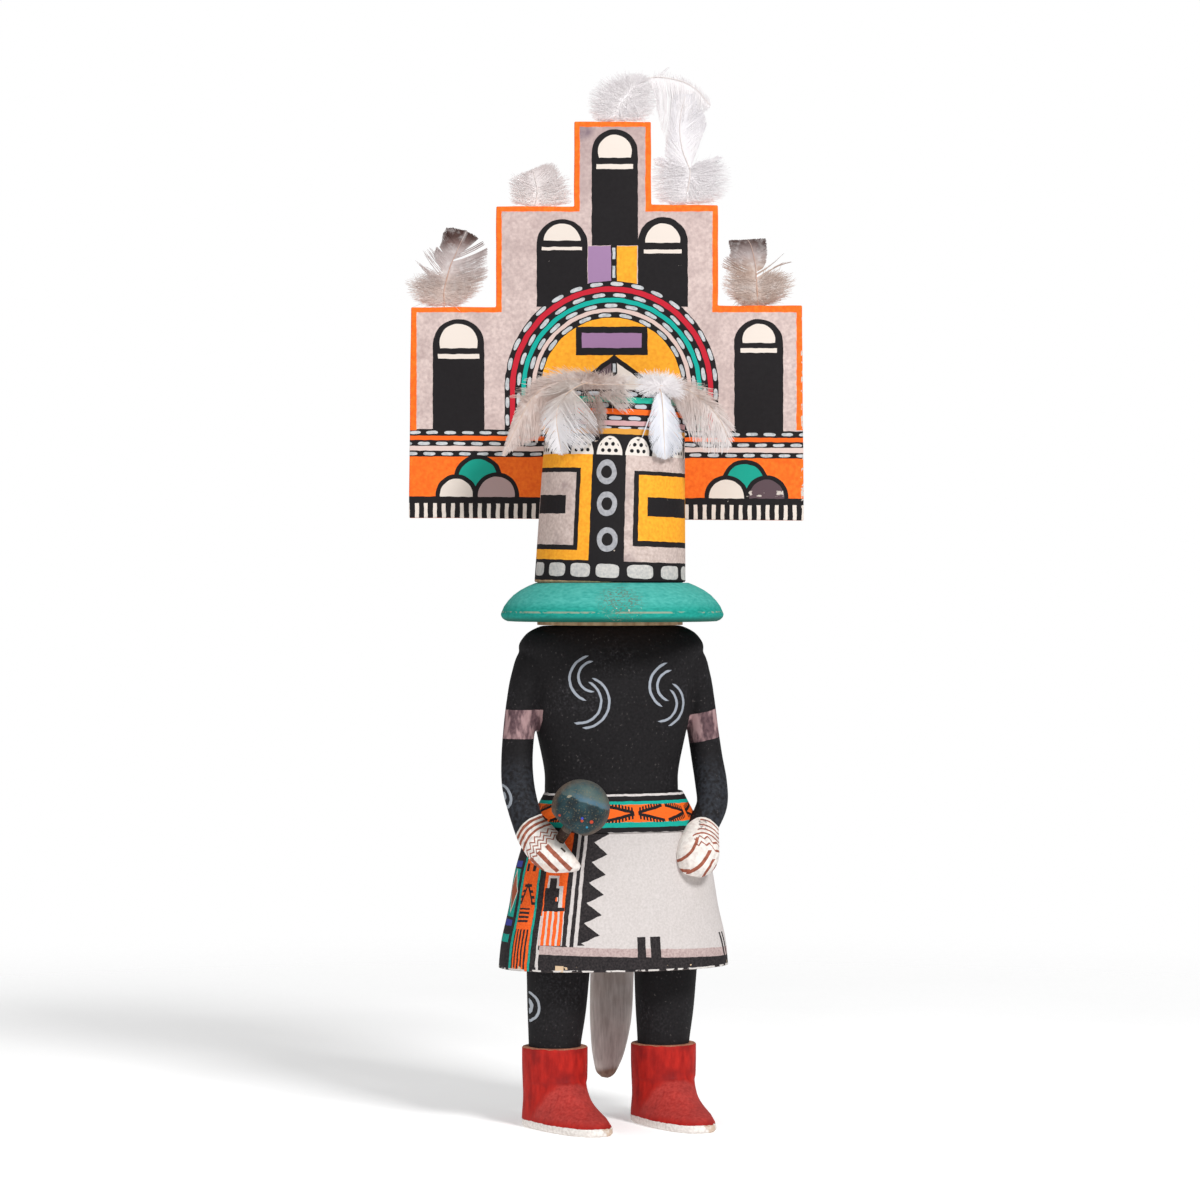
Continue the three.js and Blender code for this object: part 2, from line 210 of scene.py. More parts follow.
def paint(red, green, blue):
    """A paint's colour as a shader takes it, from how it looks in daylight, 0 to 255."""
    parts = [part / 255 for part in (red, green, blue)]
    return (*[p / 12.92 if p < 0.04 else ((p + 0.055) / 1.055) ** 2.4 for p in parts], 1)


class Coat:
    """A socket of a painted surface. Sums on it add Math nodes, also as 1 - coat."""

    def __init__(self, tree, socket=None):
        self.tree = tree
        self.socket = socket

    def node(self, kind, settings={}, values={}, out=0):
        """A new node: its settings first, then its sockets, which are numbers or other coats."""
        made = self.tree.nodes.new(kind)
        for name, value in settings.items():
            if name == "stops":
                ramp = made.color_ramp
                ramp.interpolation = settings.get("blend", "CONSTANT")
                while len(ramp.elements) < len(value):
                    ramp.elements.new(0.5)
                for element, (place, colour) in zip(ramp.elements, value):
                    element.position = place
                    element.color = colour
            elif name != "blend":
                setattr(made, name, value)
        for name, value in values.items():
            if isinstance(value, Coat):
                self.tree.links.new(value.socket, made.inputs[name])
            else:
                made.inputs[name].default_value = value
        return Coat(self.tree, made.outputs[out] if made.outputs else None)

    def math(self, operation, *others):
        return self.node("ShaderNodeMath", {"operation": operation}, dict(enumerate([self, *others])))

    def vector(self, operation, *others, out=0):
        return self.node(
            "ShaderNodeVectorMath", {"operation": operation}, dict(enumerate([self, *others])), out
        )

    def __add__(self, other):
        return self.math("ADD", other)

    __radd__ = __add__

    def __sub__(self, other):
        return self.math("SUBTRACT", other)

    def __rsub__(self, other):
        return self.node("ShaderNodeMath", {"operation": "SUBTRACT"}, {0: other, 1: self})

    def __mul__(self, other):
        return self.math("MULTIPLY", other)

    __rmul__ = __mul__

    def __truediv__(self, other):
        return self.math("DIVIDE", other)

    def __mod__(self, other):
        return self.math("FLOORED_MODULO", other)

    def __or__(self, other):
        return self.math("MAXIMUM", other)

    def __and__(self, other):
        return self.math("MINIMUM", other)

    def __lt__(self, other):
        return self.math("LESS_THAN", other)

    def __gt__(self, other):
        return self.math("GREATER_THAN", other)

    def near(self, middle, half):
        return self.math("COMPARE", middle, half)

    def between(self, low, high):
        return self.near((low + high) / 2, (high - low) / 2)

    def flat(self):
        """This point as it is seen from the front."""
        return self.vector("MULTIPLY", (1, 0, 1))

    def apart(self, x, z):
        """How far this flat point is from another."""
        return self.vector("DISTANCE", (x, 0, z), out=1)

    def parts(self):
        """The x, y and z of a point."""
        split = self.node("ShaderNodeSeparateXYZ", {}, {0: self})
        sockets = split.socket.node.outputs
        return [Coat(self.tree, socket) for socket in sockets]

    def mixed(self, mask, colour):
        """This colour with another over it where the mask is 1."""
        return self.node("ShaderNodeMix", {"data_type": "RGBA"}, {0: mask, 6: self, 7: colour}, 2)

    def speckle(self, size, detail=2.0, stretch=(1, 1, 1), out=0):
        """Noise from 0 to 1 in spots of about this size, in millimetres."""
        at = self if stretch == (1, 1, 1) else self.vector("MULTIPLY", stretch)
        values = {"Vector": at, "Scale": 0.5 / size, "Detail": detail}
        return self.node("ShaderNodeTexNoise", {}, values, out)

    def ramp(self, low, high, first, last):
        """From the first colour at low to the last colour at high."""
        share = self.node("ShaderNodeMapRange", {}, {0: self, 1: low, 2: high})
        settings = {"stops": [(0, first), (1, last)], "blend": "LINEAR"}
        return share.node("ShaderNodeValToRGB", settings, {0: share})

    def shades(self, first, last, low=0.3, high=0.7):
        """From the first paint at low to the last paint at high."""
        return self.ramp(low, high, paint(*first), paint(*last))

    def bands(self, stops, low, high, blend="CONSTANT"):
        """Bands of colour between low and high, each from its own place on."""
        stops = [((place - low) / (high - low), tint) for place, tint in stops]
        share = (self - low) / (high - low)
        return self.node("ShaderNodeValToRGB", {"stops": stops, "blend": blend}, {0: share})

    def soft(self, low, high):
        """From 0 at low to 1 at high, also where low is the larger."""
        settings = {"interpolation_type": "SMOOTHSTEP"}
        return self.node("ShaderNodeMapRange", settings, {0: self, 1: low, 2: high})

    def shaky(self, reach, size):
        """This point moved by up to about this far, as by an unsteady brush."""
        noisy = self.speckle(size, 1.0, out=1).vector("SUBTRACT", (0.5, 0.5, 0.5))
        return self.vector("ADD", noisy.vector("MULTIPLY", (4 * reach, 4 * reach, 4 * reach)))


def any_of(masks):
    """1 where at least one of these masks is."""
    return functools.reduce(Coat.__or__, masks)


matt_shine = 0.2


def finish(name, place, pattern):
    """A material painted in millimetres from a place on the doll. The pattern gives its colour,
    its roughness and the height of its surface, also in millimetres."""
    material = bpy.data.materials.new(name)
    material.use_nodes = True
    material.node_tree.nodes.clear()
    start = Coat(material.node_tree)
    at = start.node(
        "ShaderNodeMapping",
        {"vector_type": "TEXTURE"},
        {
            "Vector": start.node("ShaderNodeTexCoord", out="Object"),
            "Location": place.to_translation(),
            "Rotation": place.to_euler(),
            "Scale": place.to_scale(),
        },
    )
    colour, roughness, height, *clear = pattern(at)
    relief = start.node("ShaderNodeBump", {}, {"Height": height, "Distance": MM, "Strength": 1.0})
    values = {"Base Color": colour, "Roughness": roughness, "Normal": relief}
    values["Specular IOR Level"] = matt_shine
    if clear:
        values["Alpha"] = clear[0]
    shader = start.node("ShaderNodeBsdfPrincipled", {}, values)
    start.node("ShaderNodeOutputMaterial", {}, {"Surface": shader})
    return material


def add_piece(name, bm, material, nodes, crisp=180):
    """A finished piece of the doll, shown in place of its nodes; crisp is its sharpest fold."""
    mesh = bpy.data.meshes.new(name)
    bm.to_mesh(mesh)
    bm.free()
    mesh.shade_smooth()
    mesh.set_sharp_from_angle(angle=math.radians(crisp))
    mesh.materials.append(material)
    made = bpy.data.objects.new(name, mesh)
    bpy.context.scene.collection.objects.link(made)
    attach(made, "root")
    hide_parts(*nodes)
    return made


black = paint(28, 25, 27)
cream = paint(228, 216, 206)
mauve = paint(178, 152, 150)
dome_white = paint(224, 216, 208)


def carved_black(at):
    """Matt black over pores that show as fine pale specks, rubbed a little grey here and there."""
    grain = at.speckle(0.5, 3)
    rubbed = at.speckle(9, 5).soft(0.5, 0.72) * grain.soft(0.42, 0.7)
    pores = at.speckle(0.5, 1).soft(0.7, 0.76)
    colour = grain.shades((15, 13, 15), (33, 31, 33), 0.3, 0.75)
    colour = colour.mixed(rubbed * 0.2, paint(84, 82, 88)).mixed(pores * 0.15, paint(140, 132, 128))
    return colour, grain, rubbed


def arc(flat, x, z, radius, middle, span, half=0.48):
    """A stroke on a circle seen from the front, thinner towards its ends: they lie this many
    degrees to each side of its middle."""
    away = flat.vector("SUBTRACT", (x, 0, z))
    facing = (math.cos(math.radians(middle)), 0, math.sin(math.radians(middle)))
    inside = away.vector("DOT_PRODUCT", facing, out=1) - radius * math.cos(math.radians(span))
    off = (away.vector("LENGTH", out=1) - radius).math("ABSOLUTE")
    return off < ((inside * 0.35) & half)


# Two hooked pairs of strokes on each side of the chest: x, z, radius, middle and span. The first
# number of each side is how much the side is narrowed by the curve of the chest.
chest_hooks = (
    (
        1.026,
        (-13.6, 180.1, 9.1, 177, 77),
        (-13.2, 180.9, 6.1, 182, 90),
        (-17, 170.6, 10.1, -10, 83),
        (-18.7, 170.8, 8.5, -18, 86),
    ),
    (
        0.867,
        (18.2, 177, 9.5, 174, 68),
        (17.8, 177, 6.2, 175, 80),
        (13.3, 169.6, 9.2, -4, 68),
        (12.7, 169.6, 6.8, -20, 77),
    ),
)
arm_hooks = ((-52.4, 132.6, 7.6, 0, 62), (-52.2, 132.6, 5.8, 0, 60))


def body_pattern(at):
    drawn = at.shaky(0.12, 1.4)
    x, y, z = drawn.parts()
    colour, grain, rubbed = carved_black(at)
    fine = at.speckle(0.8, 4)
    # the forearms are a lighter bluish grey
    forearm = (x.math("ABSOLUTE") > 33) * z.soft(152, 138)
    colour = colour.mixed(forearm * fine.soft(0.3, 0.7) * 0.35, paint(72, 78, 88))
    # purple-brown bands on the upper arms, brushed over in pink
    level_z = z + ((44 - x) * 0.22) * (x > 0)
    band = (x.math("ABSOLUTE") > 30.6) & level_z.between(155.8, 167.4)
    streaks = at.speckle(1.6, 4, (1, 1, 0.35)).soft(0.42, 0.62)
    banded = fine.shades((74, 54, 60), (110, 84, 88))
    colour = colour.mixed(band, banded.mixed(streaks * 0.75, paint(186, 152, 152)))
    front = y < -8
    for narrowed, *hooks in chest_hooks:
        flat = drawn.vector("MULTIPLY", (narrowed, 0, 1))
        for hook in hooks:
            colour = colour.mixed(arc(flat, *hook) & front, paint(156, 162, 172))
    flat = drawn.flat()
    for hook in arm_hooks:
        colour = colour.mixed(arc(flat, *hook, 0.4) & (x < -42), paint(150, 156, 164))
    # the hands, in white that is stained a little tan
    white = fine.shades((206, 196, 190), (238, 232, 226), 0.25, 0.6)
    stained = at.speckle(4, 4).soft(0.5, 0.75)
    white = white.mixed(stained * 0.35, paint(214, 178, 150))
    brown = fine.shades((126, 66, 50), (176, 104, 82))
    # both hands' lines are drawn as they are seen from the front, and the cuffs are arched
    hands_front = -9
    seen_x = x * math.cos(body_turn) - y * math.sin(body_turn) + BODY_X
    seen = at.node("ShaderNodeCombineXYZ", {}, {0: seen_x, 2: z})
    # this hand points down to the right: u runs along it and v across it
    aside, rise = seen_x + 34.85, z - 122.9
    u = (aside - rise) * 0.7071
    v = (aside + rise) * 0.7071
    arched = u - v * v / 22
    wave = (((v + 30) % 3) - 1.5).math("ABSOLUTE") - 0.75
    marks = [arched.near(line, half) for line, half in ((1.2, 0.5), (3.1, 0.5), (5.1, 0.44))]
    marks += [(arched + wave).near(line, 0.3) for line in (7.4, 9.2, 10.9)]
    fingers = ((1, 12.2, 26, 0.88), (-3.1, 11.7, 22.8, 0.84), (-7.2, 11.5, 18.8, 0.7))
    for middle, start, end, half in fingers:
        marks.append(v.near(middle, half) & u.between(start, end))
    marks.append((v + u * 0.118).near(9.03, 0.25) & u.between(15, 24.5))
    nick = u.between(17, 19.3) & v.between(4.1, 4.8)
    left_hand = (seen_x < -5) & (z < 131) & (arched > 0) & (y < hands_front)
    painted = white.mixed(any_of(marks), brown).mixed(nick, paint(70, 60, 50))
    colour = colour.mixed(left_hand, painted)
    # on the other hand strokes run down over the fingers, and lines round the wrist
    aside = seen_x - 36.3
    arched = z + aside * aside * 0.09
    wave = (((seen_x + 0.3 * z) % 3) - 1.5).math("ABSOLUTE") * 0.9 - 0.7
    marks = []
    for line, start in ((123.3, 35.8), (121.5, 35.4), (119.9, 34.6), (118.4, 32.6)):
        marks.append(arched.near(line, 0.27) & (seen_x > start))
    for line, start in ((116.7, 33.2), (114.4, 34)):
        marks.append((arched + wave).near(line, 0.3) & (seen_x > start))
    marks.append(seen.apart(21.45, 119.55).near(13.35, 0.6) & z.between(106.5, 116.7))
    marks.append(seen.apart(24.9, 116.9).near(15.4, 0.7) & z.between(102, 111.7) & (seen_x > 30))
    slant = seen_x * 0.857 - z * 0.514
    marks.append(slant.near(-20.36, 0.5) & z.between(100, 108))
    marks.append(slant.near(-17.96, 0.4) & z.between(100, 105.7))
    marks.append(z.near(103.4, 0.7) & seen_x.between(24, 31.5))
    smudged = seen_x.between(35, 38.6) & z.between(119.6, 123.4)
    smudged = smudged * at.speckle(0.5, 2).soft(0.46, 0.6)
    right_hand = (seen_x > 10) & (z < 129) & (arched < 124.3) & (y < hands_front)
    painted = white.mixed(any_of(marks), brown).mixed(smudged * 0.7, paint(96, 88, 90))
    colour = colour.mixed(right_hand, painted)
    return colour, 0.62 + grain * 0.3, grain * 0.05 + fine * 0.03 - rubbed * 0.04


body_paint = finish("body paint", body_frame, body_pattern)
add_piece("carved_body", body, body_paint, ["figure"])

# The kilt and sash
# Carved in one with the body: a flared cotton kilt with a wide embroidered panel over the left
# hip, and above it a woven sash whose lower edge stands out a little.

hem, sash_edge, sash_top = 64, 119.2, 134.4
kilt_rows = [
    [hem, 46.2, 27.8],
    [hem + 0.3, 46.8, 28.3],
    [hem + 1, 47, 28.5],
    [75, 45.9, 27.6],
    [88, 42.9, 26.4],
    [103, 40.3, 24.8],
    [sash_edge - 0.3, 35.5, 22.3],
]
sash_rows = [
    [sash_edge - 0.1, 36.1, 22.8],
    [sash_edge + 0.3, 36.3, 23],
    [126, 32.6, 21.4],
    [sash_top - 1, 28.6, 19.7],
    [sash_top - 0.3, 28, 19.3],
    [sash_top, 27.4, 18.8],
]
KILT_X, kilt_flatness = 1, 1.63
kilt = bmesh.new()
loft(kilt, smoothed(kilt_rows, 6) + smoothed(sash_rows, 4), level(KILT_X, 0, 2.15), 160)
bmesh.ops.transform(kilt, matrix=body_frame, verts=kilt.verts)

orange = paint(245, 104, 30)
teal = paint(14, 164, 148)
kilt_white = paint(210, 203, 201)


def kilt_pattern(at):
    x, y, z = at.shaky(0.14, 1.6).parts()
    # degrees around the kilt from its front, evened out for its flat oval shape
    turn = ((x - KILT_X) / kilt_flatness).math("ARCTAN2", y * -1) * math.degrees(1)
    weave = at.speckle(0.4, 3)
    stain = at.speckle(6, 4).soft(0.45, 0.8)
    white = weave.ramp(0.3, 0.75, first=paint(192, 185, 182), last=kilt_white)
    white = white.mixed(stain * 0.2, paint(192, 184, 178))
    teal_worn = weave.shades((10, 136, 122), (36, 174, 158))
    orange_worn = weave.shades((222, 80, 24), (248, 110, 40))
    black_worn = weave.ramp(0.35, 0.8, first=black, last=paint(60, 54, 55))
    colour = white

    def block(left, right, low, high):
        return turn.between(left, right) & z.between(low, high)

    # the panel's right edge: a saw's teeth between white lines that lean out to the hem
    leaning = turn + (103 - z) * 0.052
    up = ((z - 75.5) % 7.95) / 7.95
    tooth = (up / 0.39) & ((1 - up) / 0.61)
    saw_edge = (z - 91) * 0.06 - 24 + tooth * 9
    panel = z.between(74.6, sash_edge)
    colour = colour.mixed((leaning > -27) & (leaning < saw_edge) & panel, black_worn)
    colour = colour.mixed(leaning.between(-50, -29) & (z > 73), black_worn)
    colour = colour.mixed(leaning.between(-33.2, -31.2), white)
    # the orange panel with its white-edged terrace and upright stripes
    colour = colour.mixed((leaning < -36.2) & (turn > -51.6) & (z > 72.8), orange_worn)
    colour = colour.mixed(block(-49.2, -41.7, 97, 102) | block(-42, -38.6, 89.4, 98), white)
    dot = turn.between(-43, -41.4) & z.between(92, 93.6)
    terrace = block(-47.8, -43, 97, 101) | block(-50.5, -40.9, 87.9, 97)
    terrace = terrace | block(-41, -37.1, 88.1, 89.4)
    colour = colour.mixed(terrace & (1 - dot), black_worn)
    colour = colour.mixed(block(-50.6, -36.8, 74.5, 88) & ((turn % 3.4) < 1.3), white)
    colour = colour.mixed(block(-51, -34, 72.8, 74.5), black_worn)
    # the teal-edged orange panel with a comb, bars and a fringe
    colour = colour.mixed(turn.between(-78, -51.4), black_worn)
    colour = colour.mixed(block(-51.9, -50.8, 65.9, 86), white)
    colour = colour.mixed(turn.between(-57.4, -55.8) | turn.between(-75, -72.3), teal_worn)
    colour = colour.mixed(turn.between(-71.9, -57.6), orange_worn)
    beside = (turn + 65.5).math("ABSOLUTE") - (98.6 - z) * 0.73
    comb = beside.between(-0.9, 0.7) | (beside.between(0, 3) & (((z - 90.3) % 2.3) < 1.1))
    marks = (
        comb & z.between(90.3, 98.6),
        block(-71.6, -61.4, 83.2, 88.8) & (((z - 83.2) % 1.65) < 0.9),
        block(-71.9, -58, hem, 80.5) & ((turn % 2.9) < 1.45),
        block(-70.6, -67.6, 103.4, 106.4),
        block(-63.6, -60.6, 103.4, 106.4),
    )
    colour = colour.mixed(any_of(marks) & turn.between(-71.9, -57.6), black_worn)
    # the last panel, blue and teal blocks on black, around the hip
    colour = colour.mixed(turn.between(-112, -78), black_worn)
    blue = paint(62, 68, 150)
    for low, high, tint in (
        (104.6, 107, blue),
        (81.3, 83.7, blue),
        (84.9, 103.9, teal_worn),
        (74.8, 77.9, teal_worn),
    ):
        colour = colour.mixed(block(-96, -79.5, low, high), tint)
    lozenge = (z - 95).math("ABSOLUTE") + (turn + 88).math("ABSOLUTE")
    colour = colour.mixed(lozenge < 9, cream).mixed(lozenge < 7.8, paint(160, 84, 60))
    # the mauve stripe and the black hem below, and pairs of bars on the white
    slope = z + x * 0.035
    plain = turn > -50
    stripe = weave.shades((160, 138, 136), (196, 176, 172))
    colour = colour.mixed(slope.between(69.8, 73.2) & plain, stripe)
    colour = colour.mixed((slope < 69.8) & plain, black_worn)
    leaning = turn - (78 - z) * 0.454
    bars = turn.between(2.4, 6.9) | turn.between(9.5, 15)
    bars = bars | leaning.between(59, 61.6) | leaning.between(64, 66.8)
    colour = colour.mixed(bars & z.between(67, 77.7), black_worn)
    # the sash: white, black, teal and orange bands, with combs in pairs that meet at a point
    sash_bands = (
        (118, black),
        (120.9, teal),
        (122.9, orange),
        (129.8, teal),
        (131.1, black),
        (133.1, kilt_white),
        (134, black),
    )
    sash = z.bands(sash_bands, 118, 135)
    sash = sash.mixed(weave.soft(0.5, 0.8) * 0.3, paint(30, 24, 22))
    apart = (((turn + 16) % 43) - 21.5).math("ABSOLUTE")
    off = (z - 126.4).math("ABSOLUTE") - (apart * 0.143 + 0.04)
    comb = off.between(-0.6, 0.6) | (off.between(0, 1.9) & ((apart % 2.2) < 1.3))
    sash = sash.mixed(comb & apart.between(1.5, 20.2) & z.between(122.7, 130), black)
    colour = colour.mixed(z > sash_edge - 0.2, sash)
    # chips along the hem and sash, the hem's worn white edge and the underside
    worn = at.speckle(2.2, 5)
    chip = worn.soft(0.64, 0.66) & ((z < hem + 2.2) | z.between(sash_edge - 0.5, sash_edge + 1))
    chip = chip | (((turn + 37.4).math("ABSOLUTE") < 2.2) & (z < hem + 2.6))
    colour = colour.mixed(chip, paint(206, 178, 146))
    colour = colour.mixed((z < hem + 0.8) & worn.soft(0.46, 0.5), paint(206, 200, 196))
    colour = colour.mixed(z < hem + 0.12, paint(90, 80, 76))
    return colour, 0.66 + weave * 0.22, weave * 0.05 - chip * 0.12


kilt_paint = finish("kilt paint", body_frame, kilt_pattern)
add_piece("painted_kilt", kilt, kilt_paint, ["figure"], 40)

# The legs and boots
# Carved in one with the body too: short round legs in black, and red boots with a flat rim at the
# ankle, a low rounded foot turned a little outwards and a white sole.

boot_top = 32
leg_tops = [(-21.1, 3), (23.8, 3.2)]
ankles = [(-22.8, 2.9), (22.8, 3.3)]
legs = bmesh.new()
for (top_x, top_y), (x, y) in zip(leg_tops, ankles):
    leg_rows = [
        [x, y, boot_top - 4, 10.4, 10.4],
        [x, y, boot_top + 2, 10.6, 10.6],
        [(top_x + x) / 2, (top_y + y) / 2, 48, 11.9, 11.9],
        [top_x, top_y, hem + 6, 13.1, 13.1],
    ]
    limb(legs, smoothed(leg_rows, 8), 64)
bmesh.ops.transform(legs, matrix=body_frame, verts=legs.verts)


def leg_pattern(at):
    drawn = at.shaky(0.1, 1.2)
    x, y, z = drawn.parts()
    colour, grain, rubbed = carved_black(at)
    flat = drawn.flat()
    for hook in ((-38.8, 48.2, 7.6, -4, 62), (-39, 48.4, 5.7, -4, 66)):
        colour = colour.mixed(arc(flat, *hook, 0.4) & (y < 2), paint(170, 176, 184))
    return colour, 0.6 + grain * 0.3, grain * 0.06 - rubbed * 0.05


leg_paint = finish("leg paint", body_frame, leg_pattern)
add_piece("carved_legs", legs, leg_paint, ["figure"], 60)

heel = 13.2
# how many degrees each foot is turned to the right on the body
toe_turns = (12.5, 7)
# height, half width, reach of the toe, how square the toe is
boot_rows = [
    [0, 12.6, 39.5, 2.3],
    [0.8, 13.3, 40.6, 2.3],
    [2.4, 13.4, 40.4, 2.3],
    [5.5, 13.2, 36.2, 2.1],
    [8.5, 12.9, 29.6, 1.75],
    [11, 12.7, 25, 1.6],
    [13.5, 12.7, 21.6, 1.55],
    [15.5, 12.8, 18.6, 1.55],
    [17.5, 12.9, 15.6, 1.65],
    [19.5, 13, 13.4, 2],
    [25, 13.2, 13.2, 2],
    [boot_top - 0.5, 13.2, 13.2, 2],
    [boot_top - 0.1, 12.9, 12.9, 2],
    [boot_top, 12.5, 12.5, 2],
]


def boot_ring(row, angle):
    height, wide, toe, square = row
    front = math.sin(angle) < 0
    side = rounded(angle, square if front else 2.0)
    return Vector((wide * side.x, (toe if front else min(toe, heel)) * side.y, height))


def boot_pattern(at):
    x, y, z = at.shaky(0.2, 1.5).parts()
    grain = at.speckle(0.6, 4)
    worn = at.speckle(5, 5)
    streaks = at.speckle(1.2, 4, (1, 1, 0.3))
    colour = streaks.shades((146, 19, 15), (188, 36, 26))
    colour = colour.mixed(worn.soft(0.48, 0.7) * 0.6, paint(118, 18, 20))
    # painted light: the foot's top, which faces up into the light, is a lighter pinker red than the
    # shaft it runs into
    away = (x * x + y * y).math("SQRT")
    foot = away.soft(13.6, 15.4) * (y < 0) * z.soft(3, 6)
    colour = colour.mixed(foot * 0.65, grain.shades((152, 50, 47), (198, 80, 73)))
    rim = (z > boot_top - 0.25) & (worn.soft(0.35, 0.45) | (away < 12))
    colour = colour.mixed(rim, grain.shades((140, 80, 62), (190, 136, 108)))
    sole = z < 3.1
    pale = grain.shades((212, 204, 198), (240, 235, 230))
    colour = colour.mixed(sole, pale.mixed(worn.soft(0.58, 0.64) * 0.7, paint(190, 158, 128)))
    return colour, 0.52 + grain * 0.3, grain * 0.05 + worn * 0.12 - sole * 0.15


for name, (x, y), turn in zip(("left_boot", "right_boot"), ankles, toe_turns):
    toed_out = Matrix.Rotation(math.radians(turn), 4, "Z")
    boot_place = body_frame @ Matrix.Translation((x, y, 0)) @ toed_out
    boot = bmesh.new()
    loft(boot, boot_rows[:3] + smoothed(boot_rows[3:12], 5) + boot_rows[12:], boot_ring, 96)
    bmesh.ops.transform(boot, matrix=boot_place, verts=boot.verts)
    boot_paint = finish(name.replace("_", " ") + " paint", boot_place, boot_pattern)
    add_piece(name, boot, boot_paint, ["figure"], 50)

# The rattle
# A gourd-shaped ball carved in wood on a short handle, in speckled dark teal over brown, pegged
# into the left fist.

rattle_centre = Vector((-11.9, -31, 129.8))
rattle_radius, handle_radius = 11.5, 2.1
handle_end = Vector((-22.6, -24.2, 113.2))
rattle = bmesh.new()
ball = bmesh.ops.create_icosphere(rattle, subdivisions=5, radius=rattle_radius)["verts"]
for vert in ball:
    low = max(0, -vert.co.x * 0.6 - vert.co.z * 0.8 - 8)
    vert.co += Vector((low * 0.3, 0, low * 0.4 - vert.co.z * 0.03))
    vert.co += vert.co.normalized() * noise.noise(vert.co * 0.12) * 0.25
bmesh.ops.translate(rattle, vec=rattle_centre, verts=ball)
grip = (handle_end - rattle_centre).to_track_quat("Z", "X").to_matrix().to_4x4()
bmesh.ops.create_cone(
    rattle,
    cap_ends=True,
    segments=24,
    radius1=handle_radius,
    radius2=handle_radius,
    depth=(handle_end - rattle_centre).length,
    matrix=Matrix.Translation((handle_end + rattle_centre) / 2) @ grip,
)
bmesh.ops.transform(rattle, matrix=drawing, verts=rattle.verts)
rattle_place = drawing @ Matrix.Translation(rattle_centre)


def rattle_pattern(at):
    drawn = at.shaky(0.35, 1.6)
    x, y, z = drawn.parts()
    smudge = at.speckle(3.2, 5)
    fine = at.speckle(0.6, 3)
    colour = smudge.shades((30, 40, 44), (40, 70, 76), 0.36, 0.66)
    # a lighter grey teal cap with a sharp edge, and painted shade in wood brown round the ball's edge
    # as seen from the front, heaviest at the lower left
    high = x * 0.353 + z * 0.936
    cap = smudge.shades((54, 78, 84), (86, 102, 98), 0.36, 0.66)
    colour = colour.mixed(high.soft(2.7, 3.4), cap)
    blued = high.soft(2.8, 3.6) * high.soft(6, 4) * x.soft(-5, 1)
    colour = colour.mixed(blued * 0.5, paint(76, 116, 142))
    # painted shade: brown round the ball's outline as the front sees it, stronger towards the lower
    # left
    out = (x * x + z * z).math("SQRT")
    rim = out.soft(8.8, 11) * (0.45 + (x * -0.7 - z * 0.5 + 6).soft(0, 6) * 0.4)
    rim_shade_brown = fine.shades((72, 58, 50), (116, 98, 84))
    colour = colour.mixed(rim, rim_shade_brown)
    # painted shade: the handle, between the fist and the ball, is a darker brown than its wood
    colour = colour.mixed(at.vector("LENGTH", out=1) > 11.7, paint(50, 34, 28))
    flat = at.flat()
    red, sky = paint(188, 66, 40), paint(40, 140, 176)
    for spot_x, spot_z, size, tint in (
        (0.5, -4.5, 0.55, red),
        (4.2, -5, 0.7, red),
        (-8.3, -2.5, 0.5, red),
        (0.6, -3.5, 0.5, paint(52, 74, 190)),
        (2.4, -7.1, 0.45, sky),
    ):
        speck = (flat.apart(spot_x, spot_z) < size) & (y < 0)
        colour = colour.mixed(speck, tint)
    nick = (((x + 4.4) * 0.5).math("POWER", 2) + (z - 5).math("POWER", 2)) < 0.28
    colour = colour.mixed(nick & (y < 0), paint(142, 136, 120))
    fleck = at.speckle(0.35, 2).soft(0.6, 0.66)
    colour = colour.mixed(fleck * 0.5, paint(124, 112, 84))
    return colour, 0.42 + fine * 0.3, fine * 0.05 + smudge * 0.15


rattle_paint = finish("rattle paint", rattle_place, rattle_pattern)
add_piece("rattle_ball", rattle, rattle_paint, ["rattle"])

# The fox pelt
# A long tail-shaped piece carved from the same root, fixed under the sash behind. It follows the
# kilt's flare and hangs straight below the hem. A thin taupe wash lets the wood's grain through.

pelt_rows = [
    [9.4, 23.4, 131.5, 3.4, 1.6],
    [9.6, 25.4, 126, 7.2, 2.9],
    [9.8, 28.1, 110, 9.2, 3.3],
    [9.9, 30.9, 90, 9.8, 3.6],
    [9.9, 33, 70, 9.3, 3.7],
    [9.6, 33.6, 54, 9.2, 3.7],
    [9.1, 33.6, 39, 8.8, 3.6],
    [8.1, 33.6, 26.5, 7.1, 3.3],
    [7.3, 33.6, 20, 5.3, 2.8],
    [6.8, 33.6, 16.4, 3.7, 2.1],
    [6.5, 33.6, 14.7, 1.4, 0.9],
]
pelt = bmesh.new()
limb(pelt, smoothed(pelt_rows, 6), 48)
bmesh.ops.transform(pelt, matrix=body_frame, verts=pelt.verts)


def pelt_pattern(at):
    x, y, z = at.parts()
    grain = at.speckle(0.5, 4, (1, 1, 0.12))
    smudge = at.speckle(6, 4)
    colour = grain.shades((176, 166, 162), (214, 206, 202), 0.3, 0.72)
    colour = colour.mixed(smudge.soft(0.45, 0.75) * 0.5, paint(226, 218, 212))
    colour = colour.mixed(z.soft(24, 60) * smudge.soft(0.6, 0.35) * 0.35, paint(160, 134, 120))
    tip = (z + smudge * 5).soft(22.5, 19.5)
    colour = colour.mixed(tip * 0.85, grain.shades((104, 72, 54), (146, 112, 90)))
    return colour, 0.65 + grain * 0.2, grain * 0.08


pelt_wash = finish("pelt wash", body_frame, pelt_pattern)
add_piece("carved_pelt", pelt, pelt_wash, ["fox_pelt"])
